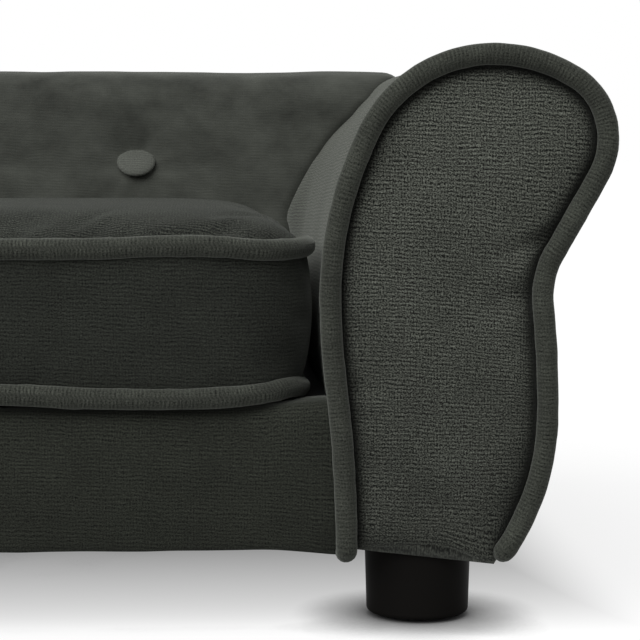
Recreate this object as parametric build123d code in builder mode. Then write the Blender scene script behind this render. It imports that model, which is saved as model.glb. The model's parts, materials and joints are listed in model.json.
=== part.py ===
from build123d import *

import math
import os

# Dog sofa bed: a small rolled-arm sofa with a plywood and softwood frame, foam upholstery under a
# chenille cover, a loose boxed seat cushion with a zip, a buttoned back and four screwed-in legs.
# X runs to the right of someone who faces the sofa, Y to its back and Z up.
# The origin is on the floor, under the middle of the sofa. All sizes are in millimetres.

# Overall size
overall_width = 740.0
overall_depth = 450.0
overall_height = 303.0
base_height = 43.0
deck_height = 115.0

# Outline of one arm seen from the front, as a chain of arcs that leave each other smoothly: the
# radii and the one straight stretch are shares of the arm's height above the base
inner_flank_share = 1.32
inner_flank_turn = 7.31
inner_foot_share = 2.645
shoulder_share = 0.765
shoulder_turn = 25.95
crest_share = 0.2948
roll_share = 0.3317
roll_turn = 30.97
roll_side_share = 0.1625
under_roll_share = 0.1768
under_roll_turn = 29.37
under_roll_length_share = 0.1744
waist_share = 0.1476
belly_lean = 5.96
belly_share = 2.126
hem_share = 0.5142

# Cloth, foam and clearances
fabric = 1.6
arm_padding_thickness = 12.0
welt_radius = 5.6
welt_proud = 3.0
seam_gap = 0.3
groove_gap = 0.25
rest_gap = 0.4
overrun = 5.0

# Arm facing: the padded front of each arm, its depth from the front of the welt to the wood
facing_depth = 20.0
facing_setback = 4.5
facing_crown = 3.5
facing_plug_gap = 0.3
welt_under = 7.0
welt_corner_radius = 11.0
welt_tail = 9.0

# Boards and battens of the frame
panel_thickness = 12.0
base_board_thickness = 12.0
rail_thickness = 18.0
side_rail_overlap = 5.0
deck_board_thickness = 8.0
hardboard = 3.0
dust_cover_thickness = 1.0
dust_cover_margin = 5.0
batten_size = 25.0
batten_drop = 55.0
bearer_width = 40.0
bearer_height = 30.0
upright_width = 18.0
upright_inset = 14.0
back_rail_gap = 1.5
back_rail_height = 14.0

# Padded front rail under the cushion
rail_face_setback = 10.0
rail_edge_radius = 10.0
rail_bow = 1.5
rail_hem_drop = 1.3

# Padded back, as a chain of arcs seen from the side, from the seat over the top to the rear
back_thickness = 119.0
back_drop = 2.0
back_foot = 3.0
back_face_turn = 13.0
back_crest_radius = 30.0
back_crest_turn = 67.0
back_top_radius = 180.0
back_reach_over_arm = 68.0

# Buttons and the tufts that they pull in
button_count = 3
button_spacing = 112.0
button_radius = 13.0
button_thickness = 8.0
button_rim = 2.5
button_height_share = 0.36
tuft_depth = 9.0
tuft_radius = 38.0
tuft_floor_radius = 9.0
tuft_rise = 1.6
tie_radius = 1.0
tie_gap = 0.4
tie_tail = 4.0
toggle_radius = 5.0
toggle_thickness = 2.0

# Loose seat cushion
cushion_side_gap = 2.0
cushion_front_setback = 3.0
cushion_back_gap = 2.0
cushion_welt_out = 1.0
cushion_front_corner = 48.0
cushion_back_corner = 30.0
cushion_draw_in = 2.5
cushion_height = 88.4
cushion_seam_step = 1.5
cushion_crown = 18.0
cushion_shoulder = 36.0
cushion_shoulder_share = 0.82
crown_station_shares = (-1.0, -0.9, -0.7, -0.35, 0, 0.35, 0.7, 0.9, 1.0)
crown_height_shares = (0.06, 0.55, 0.86, 0.98, 1.0, 0.98, 0.86, 0.55, 0.06)

# Zip at the back of the cushion
zip_end_margin = 20.0
zip_tape_width = 26.0
zip_tape_thickness = 1.0
zip_coil_width = 4.5
zip_coil_thickness = 1.5
zip_slider_length = 9.0
zip_slider_width = 8.0
zip_slider_wall = 0.9
zip_slider_gap = 0.15
zip_bridge_length = 6.0
zip_bridge_width = 2.4
zip_bridge_height = 1.2

# Legs, their bolts and glides
leg_top_radius = 28.5
leg_foot_radius = 27.3
leg_edge_radius = 2.5
leg_inset_x = 99.0
leg_inset_y = 45.0
glide_radius = 12.0
glide_thickness = 3.0
glide_proud = 1.5
bolt_radius = 4.0
bolt_gap = 0.1
bolt_in_leg = 22.0
bolt_above_board = 7.0
nut_wall = 1.0
nut_flange_radius = 11.0
nut_flange_thickness = 1.5
nut_barrel_length = 10.0
nut_pocket_gap = 1.0

# Countersunk screws of the frame
screw_radius = 1.75
screw_head_radius = 3.5
screw_head_depth = 2.0
screw_length = 34.0
screw_gap = 0.05

# Sizes that follow from the ones above
half_width = overall_width / 2
front_y = -overall_depth / 2
back_y = overall_depth / 2
arm_height = overall_height - base_height
inner_flank_radius = inner_flank_share * arm_height
inner_foot_radius = inner_foot_share * arm_height
shoulder_radius = shoulder_share * arm_height
crest_radius = crest_share * arm_height
roll_radius = roll_share * arm_height
roll_side_radius = roll_side_share * arm_height
under_roll_radius = under_roll_share * arm_height
under_roll_length = under_roll_length_share * arm_height
waist_radius = waist_share * arm_height
belly_radius = belly_share * arm_height
hem_radius = hem_share * arm_height
crest_turn = 90 - shoulder_turn
shoulder_rise = shoulder_radius * math.sin(math.radians(shoulder_turn))
shoulder_run = shoulder_radius * (1 - math.cos(math.radians(shoulder_turn)))
crest_rise = crest_radius * (1 - math.cos(math.radians(crest_turn)))
crest_run = crest_radius * math.sin(math.radians(crest_turn))
arm_widest_z = overall_height - shoulder_rise - crest_rise
roll_sine = math.sin(math.radians(roll_turn))
roll_run = roll_radius * roll_sine + roll_side_radius * (1 - roll_sine)
arm_inner_x = half_width - roll_run - crest_run - shoulder_run
roll_centre_x = half_width - roll_run
cover_inset = welt_proud
padding_inset = cover_inset + fabric
core_inset = padding_inset + arm_padding_thickness
base_z = base_height + dust_cover_thickness
base_board_top = base_z + base_board_thickness
deck_board_top = deck_height - fabric
rail_top = deck_board_top - deck_board_thickness
cover_front_y = front_y + 2 * welt_radius + seam_gap
panel_front_y = front_y + facing_depth
panel_back_y = panel_front_y + panel_thickness
outside_cover_y = back_y - fabric
outside_board_y = outside_cover_y - hardboard
rear_panel_y = outside_board_y - panel_thickness
front_rail_back_y = panel_front_y + rail_thickness
rear_rail_front_y = outside_board_y - rail_thickness
support_board_y = rear_rail_front_y - hardboard
rail_end_x = arm_inner_x + core_inset
side_rail_x = (arm_inner_x + side_rail_overlap, arm_inner_x + side_rail_overlap + rail_thickness)
seat_back_y = back_y - back_thickness
back_top_z = overall_height - back_drop
cushion_top_z = deck_height + rest_gap + cushion_height
button_height = cushion_top_z + (back_top_z - cushion_top_z) * button_height_share
back_rail_bottom = button_height + toggle_radius + back_rail_gap
back_rail_top = back_rail_bottom + back_rail_height
rail_face_y = front_y + rail_face_setback
leg_x = half_width - leg_inset_x
leg_ys = (front_y + leg_inset_y, back_y - leg_inset_y)
sides = (-1, 1)
wide = (-overall_width, overall_width)

os.makedirs("parts", exist_ok=True)


def keep(name, builder):
    """Labels a finished piece and writes it as one STEP file."""
    builder.part.label = name
    export_step(builder.part, f"parts/{name}.step")


def keep_pair(name, builder):
    """Writes the right-hand piece, and its mirror image for the left-hand side."""
    keep(f"{name}_right", builder)
    with BuildPart() as left:
        mirror(builder.part, about=Plane.YZ)
    keep(f"{name}_left", left)


def upright(y):
    """The upright plane at the depth y that faces the front, with X to the right and Z up."""
    return Plane.XZ.offset(-y)


def block(x, y, z, mode=Mode.ADD):
    """A box between the two limits of each axis, in the part that is being built."""
    with Locations(((x[0] + x[1]) / 2, (y[0] + y[1]) / 2, (z[0] + z[1]) / 2)):
        Box(x[1] - x[0], y[1] - y[0], z[1] - z[0], mode=mode)


def draw_inner_flank(start, inset, bottom):
    """Draws the arm's inner side down to the height bottom and returns the lower of its two arcs."""
    flank = JernArc(start, (0, -1), inner_flank_radius - inset, inner_flank_turn)
    radius = inner_foot_radius + inset
    lean = math.sin(math.radians(inner_flank_turn)) - ((flank @ 1).Y - bottom) / radius
    foot_turn = inner_flank_turn - math.degrees(math.asin(lean))
    return JernArc(flank @ 1, flank % 1, radius, -foot_turn)


def draw_arm_chain(inset):
    """Draws an arm's outline from its inner side over the roll to the belly, and returns its ends."""
    start = Vector(arm_inner_x + inset, arm_widest_z)
    shoulder = JernArc(start, (0, 1), shoulder_radius - inset, -shoulder_turn)
    crest = JernArc(shoulder @ 1, shoulder % 1, crest_radius - inset, -crest_turn)
    roll = JernArc(crest @ 1, crest % 1, roll_radius - inset, -roll_turn)
    roll_side = JernArc(roll @ 1, roll % 1, roll_side_radius - inset, roll_turn - 90)
    under_roll = JernArc(roll_side @ 1, roll_side % 1, under_roll_radius - inset, -under_roll_turn)
    slope = Line(under_roll @ 1, under_roll @ 1 + (under_roll % 1) * under_roll_length)
    waist = JernArc(slope @ 1, slope % 1, waist_radius + inset, under_roll_turn + belly_lean)
    belly = JernArc(waist @ 1, waist % 1, belly_radius - inset, -belly_lean)
    return start, belly @ 1, belly % 1


def arm_section(y, inset, bottom):
    """One arm's closed front outline, drawn in by inset and cut level at bottom, at the depth y."""
    with BuildSketch(upright(y)) as section:
        with BuildLine():
            start, belly_end, belly_way = draw_arm_chain(inset)
            radius = hem_radius - inset
            hem_turn = math.degrees(math.asin((belly_end.Y - bottom) / radius))
            hem = JernArc(belly_end, belly_way, radius, -hem_turn)
            foot = draw_inner_flank(start, inset, bottom)
            Line(hem @ 1, foot @ 1)
        make_face()
    return section.sketch


def arm_slab(inset, bottom, y, mode=Mode.ADD):
    """The arm's outline, drawn in by inset, as a solid between the two depths in y."""
    extrude(arm_section(y[1], inset, bottom), amount=y[1] - y[0], dir=(0, -1, 0), mode=mode)


def both_arm_slabs(inset, bottom, y, mode):
    """The same slab on both sides of the sofa."""
    with BuildPart(mode=Mode.PRIVATE) as slab:
        arm_slab(inset, bottom, y)
    add(slab.part, mode=mode)
    mirror(slab.part, about=Plane.YZ, mode=mode)


# Screws of the right-hand side, each as the middle of its head and the way it points
batten_centre = (roll_centre_x, overall_height - batten_drop)
side_rail_middle = sum(side_rail_x) / 2
base_board_middle = (base_z + base_board_top) / 2
board_screw_xs = (leg_x - leg_foot_radius / 2, leg_x + leg_foot_radius / 2)
rail_screw_zs = (base_board_top + bearer_height / 3, rail_top - bearer_height / 3)
side_screw_ys = (front_y / 2, back_y / 2)
screw_seats = []
for board_x in board_screw_xs:
    screw_seats.append(((board_x, panel_front_y, base_board_middle), (0, 1, 0)))
    screw_seats.append(((board_x, outside_board_y, base_board_middle), (0, -1, 0)))
for rail_z in rail_screw_zs:
    screw_seats.append(((side_rail_middle - fabric, panel_front_y, rail_z), (0, 1, 0)))
    screw_seats.append(((side_rail_middle - fabric, outside_board_y, rail_z), (0, -1, 0)))
for side_y in side_screw_ys:
    screw_seats.append(((side_rail_middle, side_y, base_z), (0, 0, 1)))
    screw_seats.append(((side_rail_middle, side_y, deck_board_top), (0, 0, -1)))
screw_seats.append(((batten_centre[0], panel_front_y, batten_centre[1]), (0, 1, 0)))
screw_seats.append(((batten_centre[0], outside_board_y, batten_centre[1]), (0, -1, 0)))
upright_x = (arm_inner_x - upright_inset - upright_width, arm_inner_x - upright_inset)
frame_middle_y = (rear_rail_front_y + outside_board_y) / 2
screw_seats.append(((sum(upright_x) / 2, frame_middle_y, back_rail_top), (0, 0, -1)))


def screw_shapes(gap):
    """All the screws of both sides, or with a gap the room that they need in the wood."""
    with BuildPart(mode=Mode.PRIVATE) as screws:
        for middle, way in screw_seats:
            with BuildPart(Plane(origin=middle, z_dir=way), mode=Mode.PRIVATE) as screw:
                half_head = screw_head_depth / 2
                with Locations((0, 0, half_head)):
                    Cone(screw_head_radius + gap, screw_radius + gap, screw_head_depth)
                with Locations((0, 0, screw_length / 2)):
                    Cylinder(screw_radius + gap, screw_length)
            add(screw.part)
            mirror(screw.part, about=Plane.YZ)
    return screws.part


frame_screws = screw_shapes(0)
screw_room = screw_shapes(screw_gap)


def bore_for_screws():
    """Cuts the room for the screws from the wooden piece that is being built."""
    add(screw_room, mode=Mode.SUBTRACT)


with BuildPart() as screws:
    add(frame_screws)
keep("frame_screws", screws)

# Front and rear rails, which carry the deck between the arms
with BuildPart() as front_rail:
    block((-rail_end_x, rail_end_x), (panel_front_y, front_rail_back_y), (base_z, rail_top))
    bore_for_screws()
keep("front_rail", front_rail)

with BuildPart() as rear_rail:
    block((-rail_end_x, rail_end_x), (rear_rail_front_y, outside_board_y), (base_z, rail_top))
    bore_for_screws()
keep("rear_rail", rear_rail)

# Side rails, one along the inner foot of each arm
with BuildPart() as side_rail:
    block(side_rail_x, (front_rail_back_y, rear_rail_front_y), (base_board_top, rail_top))
    bore_for_screws()
keep_pair("side_rail", side_rail)

# Bearer under the middle of the deck
with BuildPart() as deck_bearer:
    bearer_z = (rail_top - bearer_height, rail_top)
    half_bearer = bearer_width / 2
    block((-half_bearer, half_bearer), (front_rail_back_y, rear_rail_front_y), bearer_z)
keep("deck_bearer", deck_bearer)

# Deck board and the cloth over it, on which the cushion lies
with BuildPart() as deck_board:
    deck_y = (front_rail_back_y, rear_rail_front_y)
    block((-side_rail_x[1], side_rail_x[1]), deck_y, (rail_top, deck_board_top))
    bore_for_screws()
keep("deck_board", deck_board)

with BuildPart() as deck_cloth:
    block((-side_rail_x[1], side_rail_x[1]), deck_y, (deck_board_top, deck_height))
keep("deck_cloth", deck_cloth)

# Base board under each arm, which takes the legs
with BuildPart() as base_board:
    board_y = (panel_back_y, rear_panel_y)
    arm_slab(core_inset, base_z, board_y)
    block((0, overall_width), board_y, (base_board_top, 2 * overall_height), mode=Mode.SUBTRACT)
    block((side_rail_x[0], leg_x), (front_rail_back_y, rear_rail_front_y), (base_z, base_board_top))
    bore_for_screws()
    with Locations(*[(leg_x, y, base_z) for y in leg_ys]):
        Cylinder(
            bolt_radius + nut_wall + 2 * bolt_gap,
            base_board_thickness + overrun,
            align=(Align.CENTER, Align.CENTER, Align.MIN),
            mode=Mode.SUBTRACT,
        )
keep_pair("arm_base_board", base_board)

# Plywood panels that give each arm its outline, at the front and at the rear
with BuildPart() as front_panel:
    arm_slab(core_inset, base_z, (panel_front_y, panel_back_y))
    bore_for_screws()
keep_pair("arm_front_panel", front_panel)

with BuildPart() as rear_panel:
    arm_slab(core_inset, base_z, (rear_panel_y, outside_board_y))
    bore_for_screws()
keep_pair("arm_rear_panel", rear_panel)

# Batten between the panels, along the middle of the roll
half_batten = batten_size / 2
batten_x = (batten_centre[0] - half_batten, batten_centre[0] + half_batten)
batten_z = (batten_centre[1] - half_batten, batten_centre[1] + half_batten)
with BuildPart() as arm_batten:
    block(batten_x, (panel_back_y, rear_panel_y), batten_z)
    bore_for_screws()
keep_pair("arm_batten", arm_batten)

# Foam core of each arm, round the batten and over the leg nuts
with BuildPart() as arm_core:
    arm_slab(core_inset, base_board_top, (panel_back_y, rear_panel_y))
    block((0, side_rail_x[1]), (front_y, back_y), (0, deck_height), mode=Mode.SUBTRACT)
    block(batten_x, (panel_back_y, rear_panel_y), batten_z, mode=Mode.SUBTRACT)
    with Locations(*[(leg_x, y, base_board_top) for y in leg_ys]):
        Cylinder(
            nut_flange_radius + nut_pocket_gap,
            bolt_above_board + nut_pocket_gap,
            align=(Align.CENTER, Align.CENTER, Align.MIN),
            mode=Mode.SUBTRACT,
        )
keep_pair("arm_core", arm_core)


def arm_wrap(outer, inner, y):
    """A layer round the arm, which stops at the deck on its inner side behind the front edge."""
    arm_slab(outer, base_z, y)
    arm_slab(inner, base_z - overrun, (y[0] - overrun, y[1] + overrun), mode=Mode.SUBTRACT)
    block((0, leg_x), (panel_front_y, back_y), (0, deck_height), mode=Mode.SUBTRACT)


# Foam wrap of each arm and the cloth over it
with BuildPart() as arm_padding:
    arm_wrap(padding_inset, core_inset, (cover_front_y, outside_board_y))
keep_pair("arm_padding", arm_padding)

with BuildPart() as arm_cover:
    arm_wrap(cover_inset, padding_inset, (cover_front_y, outside_board_y))
keep_pair("arm_cover", arm_cover)


def draw_welt_path():
    """Draws the welt's centre line up the arm's inner edge, over the roll and under its outer foot."""
    inset = welt_radius
    start, belly_end, belly_way = draw_arm_chain(inset)
    low = base_height - welt_under + welt_radius
    draw_inner_flank(start, inset, low - welt_radius)
    radius = hem_radius - inset
    reach = (belly_end.Y - welt_corner_radius - low) / (radius - welt_corner_radius)
    hem_turn = math.degrees(math.asin(reach))
    hem = JernArc(belly_end, belly_way, radius, -hem_turn)
    corner = JernArc(hem @ 1, hem % 1, welt_corner_radius, hem_turn - 90)
    Line(corner @ 1, corner @ 1 + (corner % 1) * welt_tail)


def welt_tube(radius):
    """The welt of the right arm as a tube of the given radius."""
    with BuildLine() as path:
        draw_welt_path()
    wire = upright(front_y + welt_radius).location * path.wires()[0]
    with BuildPart(mode=Mode.PRIVATE) as tube:
        with BuildSketch(Plane(origin=wire @ 0, z_dir=wire % 0)) as section:
            Circle(radius)
        sweep(section.sketch, path=wire)
    return tube.part


# Welt cord round the front of each arm
with BuildPart() as arm_welt:
    add(welt_tube(welt_radius))
keep_pair("arm_welt", arm_welt)

# Padded facing inside the welt: a crowned front over a plug that meets the plywood panel
facing_inset = 2 * welt_radius + seam_gap
plan_plane = Plane.XY
side_plane = Plane(origin=(0, 0, 0), x_dir=(0, 0, 1), z_dir=(-1, 0, 0))


def keep_bowed(plane, low, high):
    """Trims the part that is being built to a front that bows out between low and high."""
    edge_y = front_y + facing_setback + facing_crown
    with BuildPart(mode=Mode.PRIVATE) as bowed:
        with BuildSketch(plane):
            with BuildLine():
                bow_middle = ((low + high) / 2, front_y + facing_setback)
                bow = ThreePointArc((low, edge_y), bow_middle, (high, edge_y))
                Polyline(bow @ 1, (high, back_y), (low, back_y), bow @ 0)
            make_face()
        extrude(amount=overall_width, both=True)
    add(bowed.part, mode=Mode.INTERSECT)


with BuildPart() as arm_facing:
    arm_slab(facing_inset, base_height, (front_y, cover_front_y))
    arm_slab(core_inset + facing_plug_gap, base_z, (cover_front_y, panel_front_y))
    keep_bowed(plan_plane, arm_inner_x, half_width)
    keep_bowed(side_plane, base_height, overall_height)
    add(welt_tube(welt_radius + groove_gap), mode=Mode.SUBTRACT)
keep_pair("arm_facing", arm_facing)


def rail_section(inset):
    """The padded front rail from the side, drawn in by inset, with a bowed face and a round edge."""
    with BuildSketch(Plane.YZ.offset(-half_width)) as section:
        with BuildLine():
            face_y = rail_face_y + inset
            radius = rail_edge_radius - inset
            top = deck_height - inset
            foot_z = base_height - rail_hem_drop
            foot = (face_y + rail_bow, foot_z)
            shoulder_z = top - radius
            middle = (face_y, (foot_z + shoulder_z) / 2)
            face = ThreePointArc(foot, middle, (face_y + rail_bow, shoulder_z))
            edge = RadiusArc(face @ 1, (face_y + rail_bow + radius, top), radius)
            over = Line(edge @ 1, (front_rail_back_y, top))
            down = Line(over @ 1, (front_rail_back_y, rail_top))
            back = Line(down @ 1, (panel_front_y, rail_top))
            drop = Line(back @ 1, (panel_front_y, foot_z))
            Line(drop @ 1, face @ 0)
        make_face()
    return section.sketch


def trim_ends(inset, limit, y):
    """Scribes a layer to the outline of both arms and cuts it off at the limit on each side."""
    both_arm_slabs(inset, 0, y, Mode.SUBTRACT)
    for side in sides:
        far = sorted((side * limit, side * overall_width))
        block(far, y, (0, 2 * overall_height), mode=Mode.SUBTRACT)


# Foam over the front rail and its cloth, both scribed to the welts of the arms
front_zone = (front_y - overrun, front_rail_back_y + overrun)
with BuildPart() as rail_padding:
    extrude(rail_section(fabric), amount=overall_width, dir=(1, 0, 0))
    trim_ends(-seam_gap, leg_x, front_zone)
keep("rail_padding", rail_padding)

with BuildPart() as rail_cover:
    extrude(rail_section(0), amount=overall_width, dir=(1, 0, 0))
    extrude(rail_section(fabric), amount=overall_width, dir=(1, 0, 0), mode=Mode.SUBTRACT)
    trim_ends(-seam_gap, leg_x, front_zone)
keep("rail_cover", rail_cover)

# Frame of the back: two uprights under a rail, with a board in front that backs the foam
upright_z = (rail_top, back_rail_bottom)
frame_y = (rear_rail_front_y, outside_board_y)
with BuildPart() as back_upright:
    block(upright_x, frame_y, upright_z)
    bore_for_screws()
keep_pair("back_upright", back_upright)

with BuildPart() as back_top_rail:
    block((-upright_x[1], upright_x[1]), frame_y, (upright_z[1], back_rail_top))
    bore_for_screws()
keep("back_top_rail", back_top_rail)

# Shape of the padded back from the side
crest_end_turn = math.radians(back_face_turn + back_crest_turn)
back_crest_rise = back_crest_radius * (math.sin(crest_end_turn) - math.sin(math.radians(back_face_turn)))
back_top_rise = back_top_radius * (1 - math.sin(crest_end_turn))
face_start_z = deck_height + back_foot
face_end_z = back_top_z - back_crest_rise - back_top_rise
back_face_radius = (face_end_z - face_start_z) / math.sin(math.radians(back_face_turn))
face_run = back_face_radius * (1 - math.cos(math.radians(back_face_turn)))
back_crest_run = back_crest_radius * (math.cos(math.radians(back_face_turn)) - math.cos(crest_end_turn))
back_summit_y = seat_back_y + face_run + back_crest_run + back_top_radius * math.cos(crest_end_turn)


def top_fall(inset):
    """Degrees from the top of the back's arc to the depth of the outside board."""
    return math.degrees(math.asin((outside_board_y - back_summit_y) / (back_top_radius - inset)))


def back_edge_z(inset):
    """Height of the back's top where it meets the outside board, for a layer drawn in by inset."""
    fall = (back_top_radius - inset) * (1 - math.cos(math.radians(top_fall(inset))))
    return back_top_z - inset - fall


def back_section(inset):
    """The padded back from the side, drawn in by inset, down to the deck."""
    with BuildSketch(Plane.YZ.offset(-half_width)) as section:
        with BuildLine():
            face_foot = Vector(seat_back_y + inset, face_start_z)
            rise = Line((seat_back_y + inset, deck_height), face_foot)
            face = JernArc(face_foot, (0, 1), back_face_radius - inset, -back_face_turn)
            crest = JernArc(face @ 1, face % 1, back_crest_radius - inset, -back_crest_turn)
            top_turn = 90 - back_face_turn - back_crest_turn + top_fall(inset)
            top = JernArc(crest @ 1, crest % 1, back_top_radius - inset, -top_turn)
            rear = Line(top @ 1, (outside_board_y, deck_height))
            Line(rear @ 1, rise @ 0)
        make_face()
    return section.sketch


# Buttons stand in tufts square to the back's face
button_turn = math.asin((button_height - face_start_z) / back_face_radius)
button_y = seat_back_y + back_face_radius * (1 - math.cos(button_turn))
button_xs = [button_spacing * (n - (button_count - 1) / 2) for n in range(button_count)]
button_names = ("button_left", "button_centre", "button_right")
button_way = (0, -math.cos(button_turn), math.sin(button_turn))


def button_plane(x):
    """Plane on the back's face at a button, with its Z out of the upholstery."""
    return Plane(origin=(x, button_y, button_height), x_dir=(1, 0, 0), z_dir=button_way)


def cut_tufts(sink):
    """Presses a smooth round tuft into the layer that is being built, sunk deeper by sink."""
    for x in button_xs:
        with BuildPart(mode=Mode.PRIVATE) as tuft:
            with BuildSketch(Plane.XZ):
                with BuildLine():
                    low = -tuft_depth - sink
                    high = tuft_rise - sink
                    half_way = ((tuft_floor_radius + tuft_radius) / 2, (low + high) / 2)
                    floor = Line((0, low), (tuft_floor_radius, low))
                    dip = TangentArc(floor @ 1, half_way, tangent=(1, 0))
                    brim = TangentArc(dip @ 1, (tuft_radius, high), tangent=dip % 1)
                    wall = Line(brim @ 1, (tuft_radius, high + tuft_depth))
                    lid = Line(wall @ 1, (0, high + tuft_depth))
                    Line(lid @ 1, floor @ 0)
                make_face()
            revolve(axis=Axis.Z)
        add(button_plane(x).location * tuft.part, mode=Mode.SUBTRACT)


def bore_for_ties():
    """Cuts the holes for the button ties."""
    for x in button_xs:
        with Locations(Plane(origin=(x, seat_back_y, button_height), z_dir=(0, 1, 0))):
            Cylinder(
                tie_radius + tie_gap,
                overall_depth,
                align=(Align.CENTER, Align.CENTER, Align.MIN),
                mode=Mode.SUBTRACT,
            )


# Foam of the back, over its frame, and the buttoned cloth over the foam; both thin out on the
# shoulders of the arms
back_zone = (0, back_y + overrun)
back_reach_x = arm_inner_x + back_reach_over_arm
with BuildPart() as back_padding:
    extrude(back_section(fabric), amount=overall_width, dir=(1, 0, 0))
    trim_ends(cover_inset - seam_gap, back_reach_x, back_zone)
    behind = (support_board_y, back_y)
    block(wide, behind, (0, back_rail_top), mode=Mode.SUBTRACT)
    cut_tufts(fabric)
    bore_for_ties()
keep("back_padding", back_padding)

with BuildPart(mode=Mode.PRIVATE) as tuft_cloth:
    for x in button_xs:
        with Locations(button_plane(x)):
            Cylinder(tuft_radius, 2 * (tuft_depth + fabric))
    extrude(back_section(0), amount=overall_width, dir=(1, 0, 0), mode=Mode.INTERSECT)

with BuildPart() as back_cover:
    extrude(back_section(0), amount=overall_width, dir=(1, 0, 0))
    extrude(back_section(fabric), amount=overall_width, dir=(1, 0, 0), mode=Mode.SUBTRACT)
    trim_ends(cover_inset - seam_gap, back_reach_x, back_zone)
    add(tuft_cloth.part)
    add(back_padding.part, mode=Mode.SUBTRACT)
    cut_tufts(0)
    bore_for_ties()
keep("back_cover", back_cover)

with BuildPart() as support_board:
    board_x = (-upright_x[1], upright_x[1])
    block(board_x, (support_board_y, rear_rail_front_y), (deck_height, back_rail_top))
    bore_for_ties()
keep("back_support_board", support_board)

# Cloth-covered buttons, their ties through the foam and the toggles behind the board
button_floor = -tuft_depth + seam_gap
for name, x in zip(button_names, button_xs):
    with BuildPart(mode=Mode.PRIVATE) as button_blank:
        with BuildSketch(Plane.XZ):
            with BuildLine():
                shank = Line((0, button_floor), (tuft_floor_radius / 2, button_floor))
                neck = Line(shank @ 1, (tuft_floor_radius / 2, button_floor + button_rim))
                under = Line(neck @ 1, (button_radius - button_rim / 2, button_floor + button_rim))
                rim_end = (button_radius, button_floor + 2 * button_rim)
                rim = TangentArc(under @ 1, rim_end, tangent=(1, 0))
                crown_end = (0, button_floor + button_thickness + button_rim / 2)
                crown = TangentArc(crown_end, rim @ 1, tangent=(1, 0))
                Line(crown @ 0, shank @ 0)
            make_face()
        revolve(axis=Axis.Z)
    with BuildPart() as button:
        add(button_plane(x).location * button_blank.part)
        bore_for_ties()
    keep(name, button)

tie_start_y = button_y + tuft_depth - button_rim
with BuildPart() as button_ties:
    for x in button_xs:
        with Locations(Plane(origin=(x, tie_start_y, button_height), z_dir=(0, 1, 0))):
            Cylinder(
                tie_radius,
                rear_rail_front_y + toggle_thickness + tie_tail - tie_start_y,
                align=(Align.CENTER, Align.CENTER, Align.MIN),
            )
keep("button_ties", button_ties)

with BuildPart() as button_toggles:
    for x in button_xs:
        with Locations(Plane(origin=(x, rear_rail_front_y, button_height), z_dir=(0, 1, 0))):
            Cylinder(toggle_radius, toggle_thickness, align=(Align.CENTER, Align.CENTER, Align.MIN))
    bore_for_ties()
keep("button_toggles", button_toggles)


def outside_back(inset, bottom, top, y):
    """A flat layer over the whole rear: the outlines of both arms and the back between them."""
    both_arm_slabs(inset, bottom, y, Mode.ADD)
    block((-leg_x, leg_x), y, (bottom, top))


# Hardboard over the rear and the cloth that wraps it
with BuildPart() as outside_board:
    board_bottom = base_z + fabric
    outside_back(padding_inset, board_bottom, back_edge_z(fabric), (outside_board_y, outside_cover_y))
keep("outside_back_board", outside_board)

with BuildPart() as outside_cover:
    outside_back(cover_inset, base_z, back_edge_z(0), (outside_board_y, back_y))
    add(outside_board.part, mode=Mode.SUBTRACT)
keep("outside_back_cover", outside_cover)

# Black cloth under the base, with holes for the leg bolts
with BuildPart() as dust_cover:
    dust_x = leg_x + leg_top_radius + 2 * dust_cover_margin
    dust_y = (panel_front_y + seam_gap, outside_board_y)
    block((-dust_x, dust_x), dust_y, (base_height, base_z))
    with Locations(*[(side * leg_x, y, base_height) for side in sides for y in leg_ys]):
        Cylinder(
            bolt_radius + nut_wall + 2 * bolt_gap,
            dust_cover_thickness + overrun,
            mode=Mode.SUBTRACT,
        )
keep("dust_cover", dust_cover)

# Sizes of the loose cushion, to the middle of its welts
welt_half_x = arm_inner_x - cushion_side_gap - welt_radius
welt_front_y = front_y + cushion_front_setback + welt_radius
welt_back_y = seat_back_y - cushion_back_gap - welt_radius
cushion_bottom = deck_height + rest_gap
low_seam_z = cushion_bottom + welt_radius
high_seam_z = cushion_bottom + cushion_height - welt_radius
top_edge_z = high_seam_z + cushion_seam_step


def draw_cushion_outline(grow):
    """Draws the cushion from above: drawn-in front and sides, a straight back and round corners."""
    left = -welt_half_x - grow
    right = welt_half_x + grow
    front = welt_front_y - grow
    back = welt_back_y + grow
    bow = cushion_draw_in
    front_side = ThreePointArc((left, front), (0, front + bow), (right, front))
    middle_y = (front + back) / 2
    right_side = ThreePointArc(front_side @ 1, (right - bow, middle_y), (right, back))
    back_side = Line(right_side @ 1, (left, back))
    ThreePointArc(back_side @ 1, (left + bow, middle_y), front_side @ 0)


def cushion_wire(z, grow):
    """The cushion's outline with its rounded corners, at the height z."""
    with BuildLine(Plane.XY.offset(z)) as outline:
        draw_cushion_outline(grow)
        corners = outline.vertices().group_by(Axis.Y)
        fillet(corners[-1], radius=cushion_back_corner + grow)
        fillet(outline.vertices().group_by(Axis.Y)[0], radius=cushion_front_corner + grow)
    return outline.wires()[0]


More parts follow.
